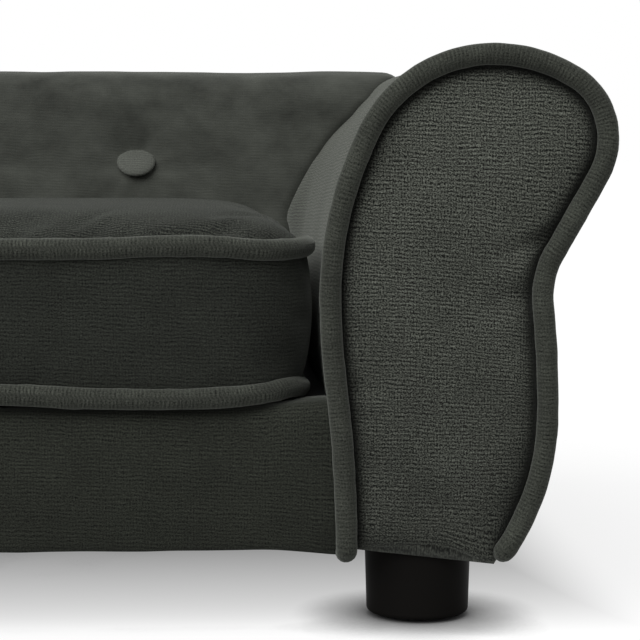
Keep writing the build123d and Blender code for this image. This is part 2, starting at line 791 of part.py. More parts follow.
def crowned_block(inset, bottom, edge):
    """The cushion's solid with a pillow crown over its top, drawn in by inset from the welts."""
    front = welt_front_y - overrun
    back = welt_back_y + overrun
    with BuildPart(mode=Mode.PRIVATE) as body:
        for station, height in zip(crown_station_shares, crown_height_shares):
            rise = cushion_crown * height
            with BuildSketch(Plane.YZ.offset(station * (welt_half_x + overrun))):
                with BuildLine():
                    shoulder_z = edge + rise * cushion_shoulder_share
                    near = (front + cushion_shoulder, shoulder_z)
                    far = (back - cushion_shoulder, shoulder_z)
                    summit = ((front + back) / 2, edge + rise)
                    top = ThreePointArc(near, summit, far)
                    fall = TangentArc(top @ 1, (back, edge), tangent=top % 1)
                    rear = Line(fall @ 1, (back, bottom))
                    under = Line(rear @ 1, (front, bottom))
                    lead = Line(under @ 1, (front, edge))
                    TangentArc(top @ 0, lead @ 1, tangent=-(top % 0))
                make_face()
        loft()
        with BuildSketch(Plane.XY.offset(bottom - overrun)) as plan:
            add(cushion_wire(0, -inset))
            make_face()
        extrude(plan.sketch, amount=overall_height, mode=Mode.INTERSECT)
    return body.part


def cushion_welt(z, radius):
    """A welt cord round the cushion at the height z."""
    wire = cushion_wire(z, 0)
    with BuildPart(mode=Mode.PRIVATE) as tube:
        with BuildSketch(Plane(origin=wire @ 0, z_dir=wire % 0)) as section:
            Circle(radius)
        sweep(section.sketch, path=wire)
    return tube.part


# Cushion: foam inside a top panel, a boxing band and a bottom panel, with a welt in each seam
welt_grooves = [cushion_welt(z, welt_radius + groove_gap) for z in (low_seam_z, high_seam_z)]
foam_block = crowned_block(cushion_welt_out + fabric, cushion_bottom + fabric, top_edge_z - fabric)
cover_block = crowned_block(cushion_welt_out, cushion_bottom, top_edge_z)
for name, seam_z in (("cushion_bottom_welt", low_seam_z), ("cushion_top_welt", high_seam_z)):
    with BuildPart() as cushion_cord:
        add(cushion_welt(seam_z, welt_radius))
    keep(name, cushion_cord)

with BuildPart() as cushion_foam:
    add(foam_block)
    add(welt_grooves, mode=Mode.SUBTRACT)
keep("cushion_foam", cushion_foam)

cover_bands = (
    ("cushion_bottom_panel", (0, low_seam_z)),
    ("cushion_boxing", (low_seam_z, high_seam_z)),
    ("cushion_top_panel", (high_seam_z, 2 * overall_height)),
)
for name, band in cover_bands:
    with BuildPart() as cushion_cloth:
        add(cover_block)
        add(foam_block, mode=Mode.SUBTRACT)
        block(wide, (-overall_depth, overall_depth), band, mode=Mode.INTERSECT)
        add(welt_grooves, mode=Mode.SUBTRACT)
    keep(name, cushion_cloth)

# Zip across the back of the boxing: tape, coil and a slider without a pull
zip_y = welt_back_y - cushion_welt_out
zip_z = (low_seam_z + high_seam_z) / 2
coil_y = zip_y + zip_tape_thickness
coil_top_y = coil_y + zip_coil_thickness
half_zip = welt_half_x - cushion_back_corner - zip_end_margin
half_tape = zip_tape_width / 2
half_coil = zip_coil_width / 2
with BuildPart() as zipper_tape:
    block((-half_zip, half_zip), (zip_y, coil_y), (zip_z - half_tape, zip_z + half_tape))
keep("zipper_tape", zipper_tape)

with BuildPart() as zipper_coil:
    block((-half_zip, half_zip), (coil_y, coil_top_y), (zip_z - half_coil, zip_z + half_coil))
keep("zipper_coil", zipper_coil)

slider_x = (half_zip - 2 * zip_slider_length, half_zip - zip_slider_length)
slider_top_y = coil_top_y + zip_slider_gap + zip_slider_wall
half_slider = zip_slider_width / 2
with BuildPart() as zipper_slider:
    block(slider_x, (coil_y + zip_slider_gap, slider_top_y), (zip_z - half_slider, zip_z + half_slider))
    channel = half_coil + zip_slider_gap
    channel_y = (coil_y, coil_top_y + zip_slider_gap)
    block(wide, channel_y, (zip_z - channel, zip_z + channel), mode=Mode.SUBTRACT)
    slider_middle = sum(slider_x) / 2
    bridge_x = (slider_middle - zip_bridge_length / 2, slider_middle + zip_bridge_length / 2)
    bridge_z = (zip_z - zip_bridge_width / 2, zip_z + zip_bridge_width / 2)
    block(bridge_x, (slider_top_y, slider_top_y + zip_bridge_height), bridge_z)
keep("zipper_slider", zipper_slider)

# Legs: tapered round feet on screwed bolts, with glides under them
leg_names = {
    "leg_front_left": (-leg_x, leg_ys[0]),
    "leg_front_right": (leg_x, leg_ys[0]),
    "leg_rear_left": (-leg_x, leg_ys[1]),
    "leg_rear_right": (leg_x, leg_ys[1]),
}
bolt_bottom = base_height - bolt_in_leg
bolt_top = base_board_top + bolt_above_board
for name, place in leg_names.items():
    with BuildPart() as leg:
        with BuildSketch(Plane.XY.offset(glide_proud)):
            with Locations(place):
                Circle(leg_foot_radius)
        with BuildSketch(Plane.XY.offset(base_height)):
            with Locations(place):
                Circle(leg_top_radius)
        loft()
        fillet(leg.edges().group_by(Axis.Z)[0], radius=leg_edge_radius)
        with Locations((*place, glide_proud)):
            Cylinder(
                glide_radius + bolt_gap,
                glide_thickness - glide_proud,
                align=(Align.CENTER, Align.CENTER, Align.MIN),
                mode=Mode.SUBTRACT,
            )
        with Locations((*place, bolt_bottom)):
            Cylinder(
                bolt_radius + bolt_gap,
                bolt_in_leg + overrun,
                align=(Align.CENTER, Align.CENTER, Align.MIN),
                mode=Mode.SUBTRACT,
            )
    keep(name, leg)

upwards = (Align.CENTER, Align.CENTER, Align.MIN)
with BuildPart() as leg_glides:
    with Locations(*[(*place, 0) for place in leg_names.values()]):
        Cylinder(glide_radius, glide_thickness, align=upwards)
keep("leg_glides", leg_glides)

with BuildPart() as leg_bolts:
    with Locations(*[(*place, bolt_bottom) for place in leg_names.values()]):
        Cylinder(bolt_radius, bolt_top - bolt_bottom, align=upwards)
keep("leg_bolts", leg_bolts)

with BuildPart() as leg_nuts:
    with Locations(*[(*place, base_board_top - nut_barrel_length) for place in leg_names.values()]):
        Cylinder(bolt_radius + nut_wall, nut_barrel_length, align=upwards)
    with Locations(*[(*place, base_board_top) for place in leg_names.values()]):
        Cylinder(nut_flange_radius, nut_flange_thickness, align=upwards)
    with Locations(*[(*place, base_height) for place in leg_names.values()]):
        Cylinder(bolt_radius + bolt_gap / 2, overall_height, align=upwards, mode=Mode.SUBTRACT)
keep("leg_nuts", leg_nuts)

print("arm inner face at", round(arm_inner_x, 2), "seat back at", round(seat_back_y, 2))
print("buttons at", [round(x, 1) for x in button_xs], "depth", round(button_y, 1))
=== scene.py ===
# %% [markdown]
# # Dog sofa bed: its cloth, cushion and finishes in Blender
# The sofa's wood, screws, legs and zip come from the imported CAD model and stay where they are.
# This lesson adds what a CAD program is poor at: soft cloth over foam, cords in the seams, a stuffed
# cushion, and the finish of each material. Everything is in metres in the frame of the CAD model.
# Sizes are written in millimetres, as an upholsterer would, and multiplied by MM where a mesh is made.

# %% Load the fixed frame
import json
import math

import bmesh
import bpy
import numpy as np
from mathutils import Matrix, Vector, noise
from mathutils.geometry import delaunay_2d_cdt


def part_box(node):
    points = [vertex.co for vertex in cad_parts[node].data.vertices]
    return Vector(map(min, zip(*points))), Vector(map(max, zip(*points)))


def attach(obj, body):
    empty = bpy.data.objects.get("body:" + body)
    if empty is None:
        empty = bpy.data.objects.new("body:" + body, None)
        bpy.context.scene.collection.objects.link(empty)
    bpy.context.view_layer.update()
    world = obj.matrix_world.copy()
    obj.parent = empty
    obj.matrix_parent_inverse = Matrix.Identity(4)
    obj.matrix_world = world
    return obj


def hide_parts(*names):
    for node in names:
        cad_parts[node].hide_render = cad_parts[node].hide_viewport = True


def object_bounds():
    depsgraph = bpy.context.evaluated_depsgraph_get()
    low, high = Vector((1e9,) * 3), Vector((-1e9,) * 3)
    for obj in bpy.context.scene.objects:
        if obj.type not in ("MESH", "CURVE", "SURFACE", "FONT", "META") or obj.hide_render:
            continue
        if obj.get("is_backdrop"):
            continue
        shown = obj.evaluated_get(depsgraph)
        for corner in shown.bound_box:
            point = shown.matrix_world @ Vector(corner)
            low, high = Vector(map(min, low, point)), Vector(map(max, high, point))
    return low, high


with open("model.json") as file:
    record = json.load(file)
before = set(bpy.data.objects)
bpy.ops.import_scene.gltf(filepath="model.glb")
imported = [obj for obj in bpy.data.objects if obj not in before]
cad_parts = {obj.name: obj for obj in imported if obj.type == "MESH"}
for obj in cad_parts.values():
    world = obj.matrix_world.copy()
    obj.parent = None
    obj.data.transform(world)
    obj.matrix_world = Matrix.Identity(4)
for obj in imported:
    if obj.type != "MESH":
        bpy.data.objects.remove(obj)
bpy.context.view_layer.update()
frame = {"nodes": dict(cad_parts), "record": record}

MM = 0.001
print("frame loaded with", len(frame["nodes"]), "nodes")

# %% [markdown]
# ## Sizes that the cells share
# They are the sizes of the CAD model, because the cloth has to lie on the foam that the model has.
# The arm's outline is a chain of arcs that leave each other smoothly, so one list of radii and turns
# describes it, and drawing it in by an inset only changes the radii.

# %% Sizes of the sofa in millimetres
front_y = -225.0
back_y = 225.0
base_height = 43.0
deck_height = 115.0
panel_front_y = -205.0
front_rail_back_y = -187.0
outside_board_y = 220.4
fabric = 1.6
welt_radius = 5.6
cover_inset = 3.0
arm_inner_x = 216.14
arm_widest_z = 172.85
inner_flank_radius = 343.2
inner_flank_turn = 7.31
inner_foot_radius = 687.7
shoulder_move = (198.9, -25.95)
crest_move = (76.65, -64.05)
roll_move = (86.24, -30.97)
roll_side_move = (42.25, -59.03)
under_roll_move = (45.97, -29.37)
under_roll_length = 45.34
waist_move = (38.38, 35.33)
belly_move = (552.76, -5.96)
hem_radius = 133.69


# %% Walk along a chain of arcs
def walk(start, heading, moves, spacing):
    """Points along arcs of (radius, turn in degrees), or straights of (length, 0), from a start."""
    x, z = start
    way = math.radians(heading)
    points = [(x, z)]
    for size, turn_degrees in moves:
        turn = math.radians(turn_degrees)
        side = 1 if turn > 0 else -1
        length = size if turn == 0 else size * abs(turn)
        steps = max(2, round(length / spacing))
        centre = (x - side * size * math.sin(way), z + side * size * math.cos(way))
        for step in range(1, steps + 1):
            share = step / steps
            if turn == 0:
                point = (x + size * share * math.cos(way), z + size * share * math.sin(way))
            else:
                angle = way + turn * share
                reach = side * size
                point = (centre[0] + reach * math.sin(angle), centre[1] - reach * math.cos(angle))
            points.append(point)
        x, z = points[-1]
        way += turn
    return np.array(points)


def arm_line(inset, inner_bottom, outer_bottom, spacing):
    """The right arm's outline from its inner foot over the roll to its outer foot."""
    start = (arm_inner_x + inset, arm_widest_z)
    flank = walk(start, -90, [(inner_flank_radius - inset, inner_flank_turn)], spacing)
    foot_radius = inner_foot_radius + inset
    lean = math.sin(math.radians(inner_flank_turn)) - (flank[-1][1] - inner_bottom) / foot_radius
    foot_turn = inner_flank_turn - math.degrees(math.asin(lean))
    foot = walk(flank[-1], inner_flank_turn - 90, [(foot_radius, -foot_turn)], spacing)
    flank = np.vstack([flank, foot[1:]])
    rounds = (shoulder_move, crest_move, roll_move, roll_side_move, under_roll_move)
    moves = [(radius - inset, turn) for radius, turn in rounds]
    moves.append((under_roll_length, 0))
    moves.append((waist_move[0] + inset, waist_move[1]))
    moves.append((belly_move[0] - inset, belly_move[1]))
    upper = walk(start, 90, moves, spacing)
    radius = hem_radius - inset
    hem_turn = math.degrees(math.asin((upper[-1][1] - outer_bottom) / radius))
    hem = walk(upper[-1], -90, [(radius, -hem_turn)], spacing)
    return np.vstack([flank[::-1], upper[1:], hem[1:]])


def lengths_along(line):
    """The distance from the first point of a line to each of its points."""
    steps = np.linalg.norm(np.diff(line, axis=0), axis=1)
    return np.concatenate([[0], np.cumsum(steps)])


def respaced(line, count):
    """The same line with evenly spaced points."""
    along = lengths_along(line)
    at = np.linspace(0, along[-1], count)
    return np.stack([np.interp(at, along, line[:, k]) for k in range(line.shape[1])], axis=1)


def side_normals(line):
    """The left-hand normal of a flat line at each of its points."""
    way = np.gradient(line, axis=0)
    way /= np.linalg.norm(way, axis=1)[:, None]
    return np.stack([-way[:, 1], way[:, 0]], axis=1)


arm_front = arm_line(0, base_height, base_height, 3.0)
print("arm outline", round(float(lengths_along(arm_front)[-1])), "mm round, top", arm_front[:, 1].max())


# %% Make mesh objects
def make_object(name, points, faces, weave=None):
    """A smooth mesh from points in millimetres, with weave coordinates where it is cloth."""
    mesh = bpy.data.meshes.new(name)
    mesh.from_pydata((np.asarray(points, float) * MM).tolist(), [], faces)
    if weave is not None:
        layer = mesh.uv_layers.new(name="weave")
        corners = np.zeros(len(mesh.loops), np.int32)
        mesh.loops.foreach_get("vertex_index", corners)
        layer.uv.foreach_set("vector", (np.asarray(weave, float)[corners] * MM).ravel())
    mesh.polygons.foreach_set("use_smooth", [True] * len(mesh.polygons))
    piece = bpy.data.objects.new(name, mesh)
    bpy.context.scene.collection.objects.link(piece)
    return piece


def grid_faces(rows, columns, loop_rows=False, loop_columns=False):
    """Quads of a grid whose points are listed row by row."""
    faces = []
    for row in range(rows if loop_rows else rows - 1):
        after = (row + 1) % rows
        for column in range(columns if loop_columns else columns - 1):
            beside = (column + 1) % columns
            corners = (row * columns + column, row * columns + beside)
            faces.append((*corners, after * columns + beside, after * columns + column))
    return faces


def face_outwards(piece):
    """Turns the faces of a closed piece outwards."""
    work = bmesh.new()
    work.from_mesh(piece.data)
    bmesh.ops.remove_doubles(work, verts=work.verts, dist=0.01 * MM)
    bmesh.ops.recalc_face_normals(work, faces=work.faces)
    work.to_mesh(piece.data)
    work.free()


def face_towards(piece, way):
    """Turns the faces of an open cloth so that they look along a direction on the whole."""
    total = Vector((0, 0, 0))
    for face in piece.data.polygons:
        total += face.normal * face.area
    if total.dot(Vector(way)) < 0:
        piece.data.flip_normals()


def give_thickness(piece, thickness):
    """Gives a cloth its thickness on its inner side."""
    wall = piece.modifiers.new("Cloth thickness", "SOLIDIFY")
    wall.thickness = thickness * MM
    wall.offset = -1
    wall.use_even_offset = False


def mirrored(points):
    """The same points on the other side of the sofa."""
    return np.asarray(points) * (-1, 1, 1)


def ripple(points, size, seed):
    """Smooth noise from -1 to 1 at each point, with waves of about the given size in millimetres."""
    shift = Vector((seed * 17.3, seed * 5.1, seed * 9.7))
    return np.array([noise.noise(Vector(point) / size + shift) for point in points])


def smooth_step(value, low, high):
    """Rises smoothly from 0 at low to 1 at high."""
    share = np.clip((np.asarray(value, float) - low) / (high - low), 0, 1)
    return share * share * (3 - 2 * share)


def bump_at(values, centre, width):
    """A bell of height 1 round a centre."""
    return np.exp(-(((np.asarray(values, float) - centre) / width) ** 2))


print("tools ready")

# %% [markdown]
# ## Camera
# The photograph looks at the right-hand end of the sofa from the front, a little above the seat and
# turned slightly to the right. A long lens keeps the upright lines nearly parallel. The camera could
# be aimed by eye, but its place was found by matching the arm's outline, so it is given as numbers.

# %% Camera
camera_place = (157.5, -1266.7, 249.7)
camera_turn = 3.217
camera_drop = 4.796
sensor_width = 36.0
focal_pixels = 2054.3
picture_width = 640
camera_data = bpy.data.cameras.new("Camera")
camera = bpy.data.objects.new("Camera", camera_data)
bpy.context.scene.collection.objects.link(camera)
camera_data.sensor_width = sensor_width
camera_data.lens = focal_pixels * sensor_width / picture_width
camera_data.clip_start = 0.01
camera_data.clip_end = 100.0
camera.location = Vector(camera_place) * MM
camera.rotation_euler = (math.radians(90 - camera_drop), 0, math.radians(-camera_turn))
bpy.context.scene.camera = camera
print("camera with a lens of", round(camera_data.lens, 1), "mm")

# %% [markdown]
# ## Arithmetic on shader sockets
# A finish is a web of nodes, and most of them only add or multiply. Wiring each by hand hides the
# idea, so a small class wraps a socket and lets Python's own signs add the Math nodes. Every other
# node comes from one method that takes its type, its settings and what goes into its sockets.


# %% Values and graphs
class Value:
    """An output socket that plain arithmetic works on."""

    def __init__(self, graph, socket):
        self.graph = graph
        self.socket = socket

    def math(self, operation, *inputs):
        places = dict(enumerate(inputs))
        return self.graph.node("ShaderNodeMath", {"operation": operation}, places)[0]

    def __add__(self, other):
        return self.math("ADD", self, other)

    def __radd__(self, other):
        return self.math("ADD", other, self)

    def __sub__(self, other):
        return self.math("SUBTRACT", self, other)

    def __rsub__(self, other):
        return self.math("SUBTRACT", other, self)

    def __mul__(self, other):
        return self.math("MULTIPLY", self, other)

    def __rmul__(self, other):
        return self.math("MULTIPLY", other, self)

    def __truediv__(self, other):
        return self.math("DIVIDE", self, other)

    def __pow__(self, other):
        return self.math("POWER", self, other)

    def __abs__(self):
        return self.math("ABSOLUTE", self)

    def cosine(self):
        return self.math("COSINE", self)

    def at_least(self, other):
        return self.math("MAXIMUM", self, other)

    def at_most(self, other):
        return self.math("MINIMUM", self, other)

    def step_between(self, low, high):
        places = {0: self, 1: low, 2: high}
        settings = {"interpolation_type": "SMOOTHSTEP"}
        return self.graph.node("ShaderNodeMapRange", settings, places)[0]


class Step:
    """A node whose outputs are read by name or number."""

    def __init__(self, graph, node):
        self.graph = graph
        self.node = node

    def __getitem__(self, key):
        return Value(self.graph, self.node.outputs[key])


class Graph:
    """A node tree that is being built."""

    def __init__(self, tree):
        self.tree = tree

    def node(self, kind, settings=None, sockets=None):
        """Adds a node, sets it up, and then gives its sockets their values or links."""
        new = self.tree.nodes.new(kind)
        for key, setting in (settings or {}).items():
            if key == "stops":
                ramp = new.color_ramp
                while len(ramp.elements) < len(setting):
                    ramp.elements.new(1)
                for element, (place, colour) in zip(ramp.elements, setting):
                    element.position = place
                    element.color = colour
            else:
                setattr(new, key, setting)
        for key, given in (sockets or {}).items():
            if isinstance(given, Value):
                self.tree.links.new(given.socket, new.inputs[key])
            else:
                new.inputs[key].default_value = given
        return Step(self, new)

    def noise(self, place, scale, detail=2.0, roughness=0.5):
        """Noise from 0 to 1 with the given number of waves in one unit of place."""
        sockets = {"Vector": place, "Scale": scale, "Detail": detail, "Roughness": roughness}
        return self.node("ShaderNodeTexNoise", None, sockets)["Fac"]

    def stretched(self, x, y, x_size, y_size):
        """A place whose two coordinates are counted in the given sizes, for long or narrow noise."""
        return self.node("ShaderNodeCombineXYZ", None, {0: x / x_size, 1: y / y_size})[0]

    def painted_shade_openness(self, reach):
        """How free a spot is of things within a reach: 1 in the open and less in a crease. Multiplied into a
        colour, it paints shade.
        """
        settings = {"samples": 8}
        return self.node("ShaderNodeAmbientOcclusion", settings, {"Distance": reach * MM})["AO"]

    def tinted(self, colour, amount):
        """A plain colour made lighter or darker by a value round 1."""
        sockets = {0: colour[:3], "Scale": amount}
        return self.node("ShaderNodeVectorMath", {"operation": "SCALE"}, sockets)[0]

    def blended(self, share, first, second):
        """One colour turning into another as the share goes from 0 to 1."""
        return self.node("ShaderNodeMix", {"data_type": "RGBA"}, {0: share, 6: first, 7: second})[2]


def colour(red, green, blue):
    """A colour as it is seen, in steps of 255, as the linear numbers that a shader works with."""
    linear = []
    for part in (red, green, blue):
        share = part / 255
        linear.append(share / 12.92 if share <= 0.04045 else ((share + 0.055) / 1.055) ** 2.4)
    return (*linear, 1.0)


def new_finish(name):
    """An empty material and the graph that fills it."""
    material = bpy.data.materials.new(name)
    material.use_nodes = True
    material.node_tree.nodes.clear()
    return material, Graph(material.node_tree)


def surface(graph, varying, constant):
    """The shader at the end of a graph: linked values, and numbers set on its own sockets."""
    shader = graph.node("ShaderNodeBsdfPrincipled", None, {**constant, **varying})
    graph.node("ShaderNodeOutputMaterial", None, {"Surface": shader["BSDF"]})


def bumped(graph, height, distance, strength=1.0):
    """A normal from a height of 0 to 1 that stands for a real distance in metres."""
    sockets = {"Strength": strength, "Distance": distance, "Height": height}
    return graph.node("ShaderNodeBump", None, sockets)["Normal"]


print("shader tools ready")

# %% [markdown]
# ## Chenille
# The cover is a grey-green chenille: a soft pile on fine threads that lie side by side as ribs. Each
# rib is broken by small dark pits, swells and thins, and wavers a little. Each panel gets its own
# lighter or darker copy of the one cloth: painted light and shade for how the leaning pile takes the
# light there. On some panels a painted gradient of light runs along the weave, and light runs along
# the pile where it turns away. Where two cloths meet and never part, as a facing and its welt do,
# painted shade darkens the crease between them. Cloth that something moves away from leaves that
# painted shade out, or the shade would stay on it.
# A picture of cloth would repeat and blur, so the ribs are worked out from the weave coordinates that
# every cloth piece carries in metres. The sheen is the Principled shader's own fibre layer.

# %% Chenille finish
rib_pitch = 2.05
rib_slope = 0.04
rib_waver = 1.7
thread_pitch = 1.55
drift_size = (16.0, 9.0)
patch_size = (7.0, 6.0)
slub_size = (2.6, 0.85)
pit_size = (0.82, 0.7)
cloud_size = (34.0, 28.0)
rib_share = 0.07
rib_patch_share = 0.16
thread_share = 0.06
slub_shade = 0.85
slub_relief = 0.5
pit_relief = 0.8
grain_contrast = 2.1
darkest_pile = 0.08
pile_roughness = 0.95
pile_specular = 0.12
pile_bump = 0.9
pile_sheen_roughness = 0.45
painted_shade_reach = 20.0
pile_habits = {
    "relief": 0.16,
    "pitted": 2.0,
    "cloud": 0.24,
    "sheen": 0.16,
    # fade paints a gradient of light along the weave, round its middle.
    "fade": 0.0,
    "fade_middle": 160.0,
    # crease paints shade into creases, from ambient occlusion.
    "crease": 0.0,
}
pile_tint = (0.86, 0.9, 0.82, 1.0)


def chenille(name, tone, grain=1.0, **changes):
    """Ribbed pile cloth of one tone, with the strength of its grain; the habits can be changed, and among
    them fade paints a gradient of light and crease paints shade.
    """
    habit = {**pile_habits, **changes}
    material, graph = new_finish(name)
    place = graph.node("ShaderNodeAttribute", {"attribute_name": "weave"})["Vector"]
    axes = graph.node("ShaderNodeSeparateXYZ", None, {0: place})
    across = axes[0] / MM
    along = axes[1] / MM
    drift = graph.noise(graph.stretched(across, along, *drift_size), 1.0, 2.0)
    wavering = along + across * rib_slope + (drift - 0.5) * rib_waver * 2
    ribs = (wavering * (2 * math.pi / rib_pitch)).cosine()
    swaying = across + (drift - 0.5) * rib_waver
    threads = (swaying * (2 * math.pi / thread_pitch)).cosine()
    patches = graph.noise(graph.stretched(across, along, *patch_size), 1.0, 1.0).step_between(0.3, 0.7)
    slubs = graph.noise(graph.stretched(across, wavering, *slub_size), 1.0, 2.0, 0.6)
    pits = graph.noise(graph.stretched(across, wavering, *pit_size), 1.0, 1.0, 0.7)
    clouds = graph.noise(graph.stretched(across, along, *cloud_size), 1.0, 5.0, 0.62)
    knots = ribs * (rib_share + patches * rib_patch_share) + threads * thread_share
    pile = knots + (slubs - 0.5) * slub_shade + (pits - 0.5) * habit["pitted"]
    # Painted light and shade: the colour grows lighter towards one end of the weave and darker towards the
    # other.
    painted_light_slope = (along - habit["fade_middle"]) * (habit["fade"] / 100)
    slow = 1 + (clouds - 0.5) * (2 * habit["cloud"]) + painted_light_slope
    light = slow * (1 + pile * (grain_contrast * grain))
    # Painted shade: ambient occlusion darkens the colour where other cloth is near.
    if habit["crease"] > 0:
        light = light * graph.painted_shade_openness(painted_shade_reach) ** habit["crease"]
    height = knots + (slubs - 0.5) * slub_relief + (pits - 0.5) * pit_relief + 0.5
    varying = {
        "Base Color": graph.tinted(tone, light.at_least(darkest_pile)),
        "Normal": bumped(graph, height, habit["relief"] * MM, pile_bump),
    }
    constant = {
        "Roughness": pile_roughness,
        "Specular IOR Level": pile_specular,
        "Sheen Weight": habit["sheen"],
        "Sheen Roughness": pile_sheen_roughness,
        "Sheen Tint": pile_tint,
    }
    surface(graph, varying, constant)
    return material


# Painted light and shade: the tones below are lighter and darker copies of one cloth, one for each panel. The
# cushion's top is painted darker, where the light from above falls most, and the buttons lighter.
arm_cloth = chenille("Chenille of the arms", colour(62, 64, 59), 1.6, fade=0.22, fade_middle=110.0)
facing_habits = {"pitted": 2.4, "cloud": 0.36, "fade": 0.22, "crease": 0.8}
facing_cloth = chenille("Chenille of the facings", colour(57, 59, 54), 1.5, **facing_habits)
rail_habits = {"cloud": 0.4, "fade": 0.3, "fade_middle": 30.0}
rail_cloth = chenille("Chenille of the front rail", colour(34, 36, 31), 0.8, **rail_habits)
boxing_cloth = chenille("Chenille of the cushion's sides", colour(34, 36, 32), 0.8, cloud=0.42, fade=0.2)
seat_habits = {"relief": 0.3, "cloud": 0.6, "sheen": 0.08}
seat_cloth = chenille("Chenille of the cushion's top", colour(36, 38, 34), 1.9, **seat_habits)
back_habits = {"cloud": 0.7, "fade": -0.34, "fade_middle": 90.0}
back_cloth = chenille("Chenille of the back", colour(67, 69, 64), 0.12, **back_habits)
button_cloth = chenille("Chenille of the buttons", colour(77, 79, 74), 0.3)
arm_welt_habits = {"cloud": 0.7, "sheen": 0.2, "crease": 0.6}
arm_welt_cloth = chenille("Chenille of the arm welts", colour(48, 50, 45), 0.7, **arm_welt_habits)
seat_welt_cloth = chenille("Chenille of the cushion welts", colour(49, 51, 46), 0.8, cloud=0.7, sheen=0.24)
rear_cloth = chenille("Chenille of the rear", colour(64, 66, 61), 1.1)
print("chenille in", sum(m.name.startswith("Chenille") for m in bpy.data.materials), "tones")

# %% [markdown]
# ## Wood, foam, metal and plastic
# These pieces keep their CAD shapes and only get a finish. Sawn softwood has growth rings that run
# along the board, so its pattern is long and narrow along the longest side, and one finish is made for
# each direction. Plywood shows a wild veneer on its faces and thin dark and light plies on its edges.
# Foam is full of small cells, and black non-woven cloth is pressed together in small diamonds.


# %% Place of a point in millimetres
def place_in_mm(graph):
    """The three coordinates of a point of the object, in millimetres."""
    place = graph.node("ShaderNodeTexCoord")["Object"]
    axes = graph.node("ShaderNodeSeparateXYZ", None, {0: place})
    return [axes[k] / MM for k in range(3)]


# %% Timber finishes
def softwood(name, grain_axis):
    """Sawn spruce whose rings run along one axis."""
    material, graph = new_finish(name)
    places = place_in_mm(graph)
    along = places.pop(grain_axis)
    wide, deep = places
    sway = graph.noise(graph.stretched(along, wide + deep, 160.0, 60.0), 1.0, 1.0)
    rings = ((wide + deep * 0.35 + sway * 26) * (2 * math.pi / 4.4)).cosine() * 0.5 + 0.5
    fibres = graph.noise(graph.stretched(along, wide + deep * 1.7, 22.0, 0.6), 1.0, 2.0, 0.6)
    knot_place = graph.stretched(along, wide + deep, 95.0, 34.0)
    knots = graph.node("ShaderNodeTexVoronoi", None, {"Vector": knot_place, "Scale": 1.0})["Distance"]
    knotty = 1 - knots.step_between(0.04, 0.12)
    share = rings * rings * 0.55 + (fibres - 0.5) * 0.7 + knotty * 0.6
    tone = graph.blended(share, colour(214, 184, 138), colour(156, 108, 62))
    varying = {"Base Color": tone, "Normal": bumped(graph, fibres, 0.12 * MM, 0.6)}
    surface(graph, varying, {"Roughness": 0.72, "Specular IOR Level": 0.3})
    return material


def plywood(name, thin_axis):
    """Birch plywood with its plies across one axis."""
    material, graph = new_finish(name)
    places = place_in_mm(graph)
    through = places.pop(thin_axis)
    wide, tall = places
    plies = (through * (2 * math.pi / 3.0)).cosine() * 0.5 + 0.5
    sway = graph.noise(graph.stretched(wide, tall, 120.0, 45.0), 1.0, 2.0)
    veneer = ((tall + sway * 60) * (2 * math.pi / 16.0)).cosine() * 0.5 + 0.5
    fibres = graph.noise(graph.stretched(wide, tall, 16.0, 0.8), 1.0, 2.0, 0.6)
    share = plies * 0.35 + veneer * 0.25 + (fibres - 0.5) * 0.5
    tone = graph.blended(share, colour(209, 180, 140), colour(150, 112, 74))
    varying = {"Base Color": tone, "Normal": bumped(graph, fibres, 0.1 * MM, 0.5)}
    surface(graph, varying, {"Roughness": 0.68, "Specular IOR Level": 0.3})
    return material


def hardboard(name):
    """Pressed brown fibre."""
    material, graph = new_finish(name)
    x, y, z = place_in_mm(graph)
    fibres = graph.noise(graph.stretched(x, z, 2.4, 1.6), 1.0, 3.0, 0.7)
    stains = graph.noise(graph.stretched(x, z, 60.0, 50.0), 1.0, 2.0)
    share = (fibres - 0.5) * 1.2 + stains * 0.6
    tone = graph.blended(share, colour(128, 92, 60), colour(84, 56, 34))
    varying = {"Base Color": tone, "Normal": bumped(graph, fibres, 0.08 * MM, 0.5)}
    surface(graph, varying, {"Roughness": 0.6, "Specular IOR Level": 0.35})
    return material


print("timber finishes ready")


# %% Foam, black cloth, twine and zip tape
def foam(name, cell):
    """Open foam with cells of a size in millimetres."""
    material, graph = new_finish(name)
    place = graph.node("ShaderNodeTexCoord")["Object"]
    sockets = {"Vector": place, "Scale": 1 / (cell * MM)}
    cells = graph.node("ShaderNodeTexVoronoi", None, sockets)["Distance"]
    age = graph.noise(place, 14.0, 2.0)
    share = (0.6 - cells) * 0.8 + age * 0.3
    tone = graph.blended(share, colour(232, 222, 186), colour(198, 178, 128))
    varying = {"Base Color": tone, "Normal": bumped(graph, cells, 0.5 * MM, 0.8)}
    surface(graph, varying, {"Roughness": 0.95, "Specular IOR Level": 0.1})
    return material


def black_cloth(name):
    """Non-woven black cloth, bonded in small diamonds."""
    material, graph = new_finish(name)
    x, y, z = place_in_mm(graph)
    bond_spacing = 2.2
    one_way = ((x + y) * (2 * math.pi / bond_spacing)).cosine()
    other_way = ((x - y) * (2 * math.pi / bond_spacing)).cosine()
    bonds = (one_way * other_way).step_between(0.25, 0.75)
    fibres = graph.noise(graph.stretched(x, y, 0.7, 0.7), 1.0, 2.0, 0.7)
    light = 0.75 + fibres * 0.6 - bonds * 0.3
    height = fibres * 0.5 + (1 - bonds) * 0.5
    varying = {
        "Base Color": graph.tinted(colour(30, 30, 31), light),
        "Roughness": 0.9 - bonds * 0.3,
        "Normal": bumped(graph, height, 0.12 * MM, 0.8),
    }
    surface(graph, varying, {"Specular IOR Level": 0.25, "Sheen Weight": 0.05})
    return material


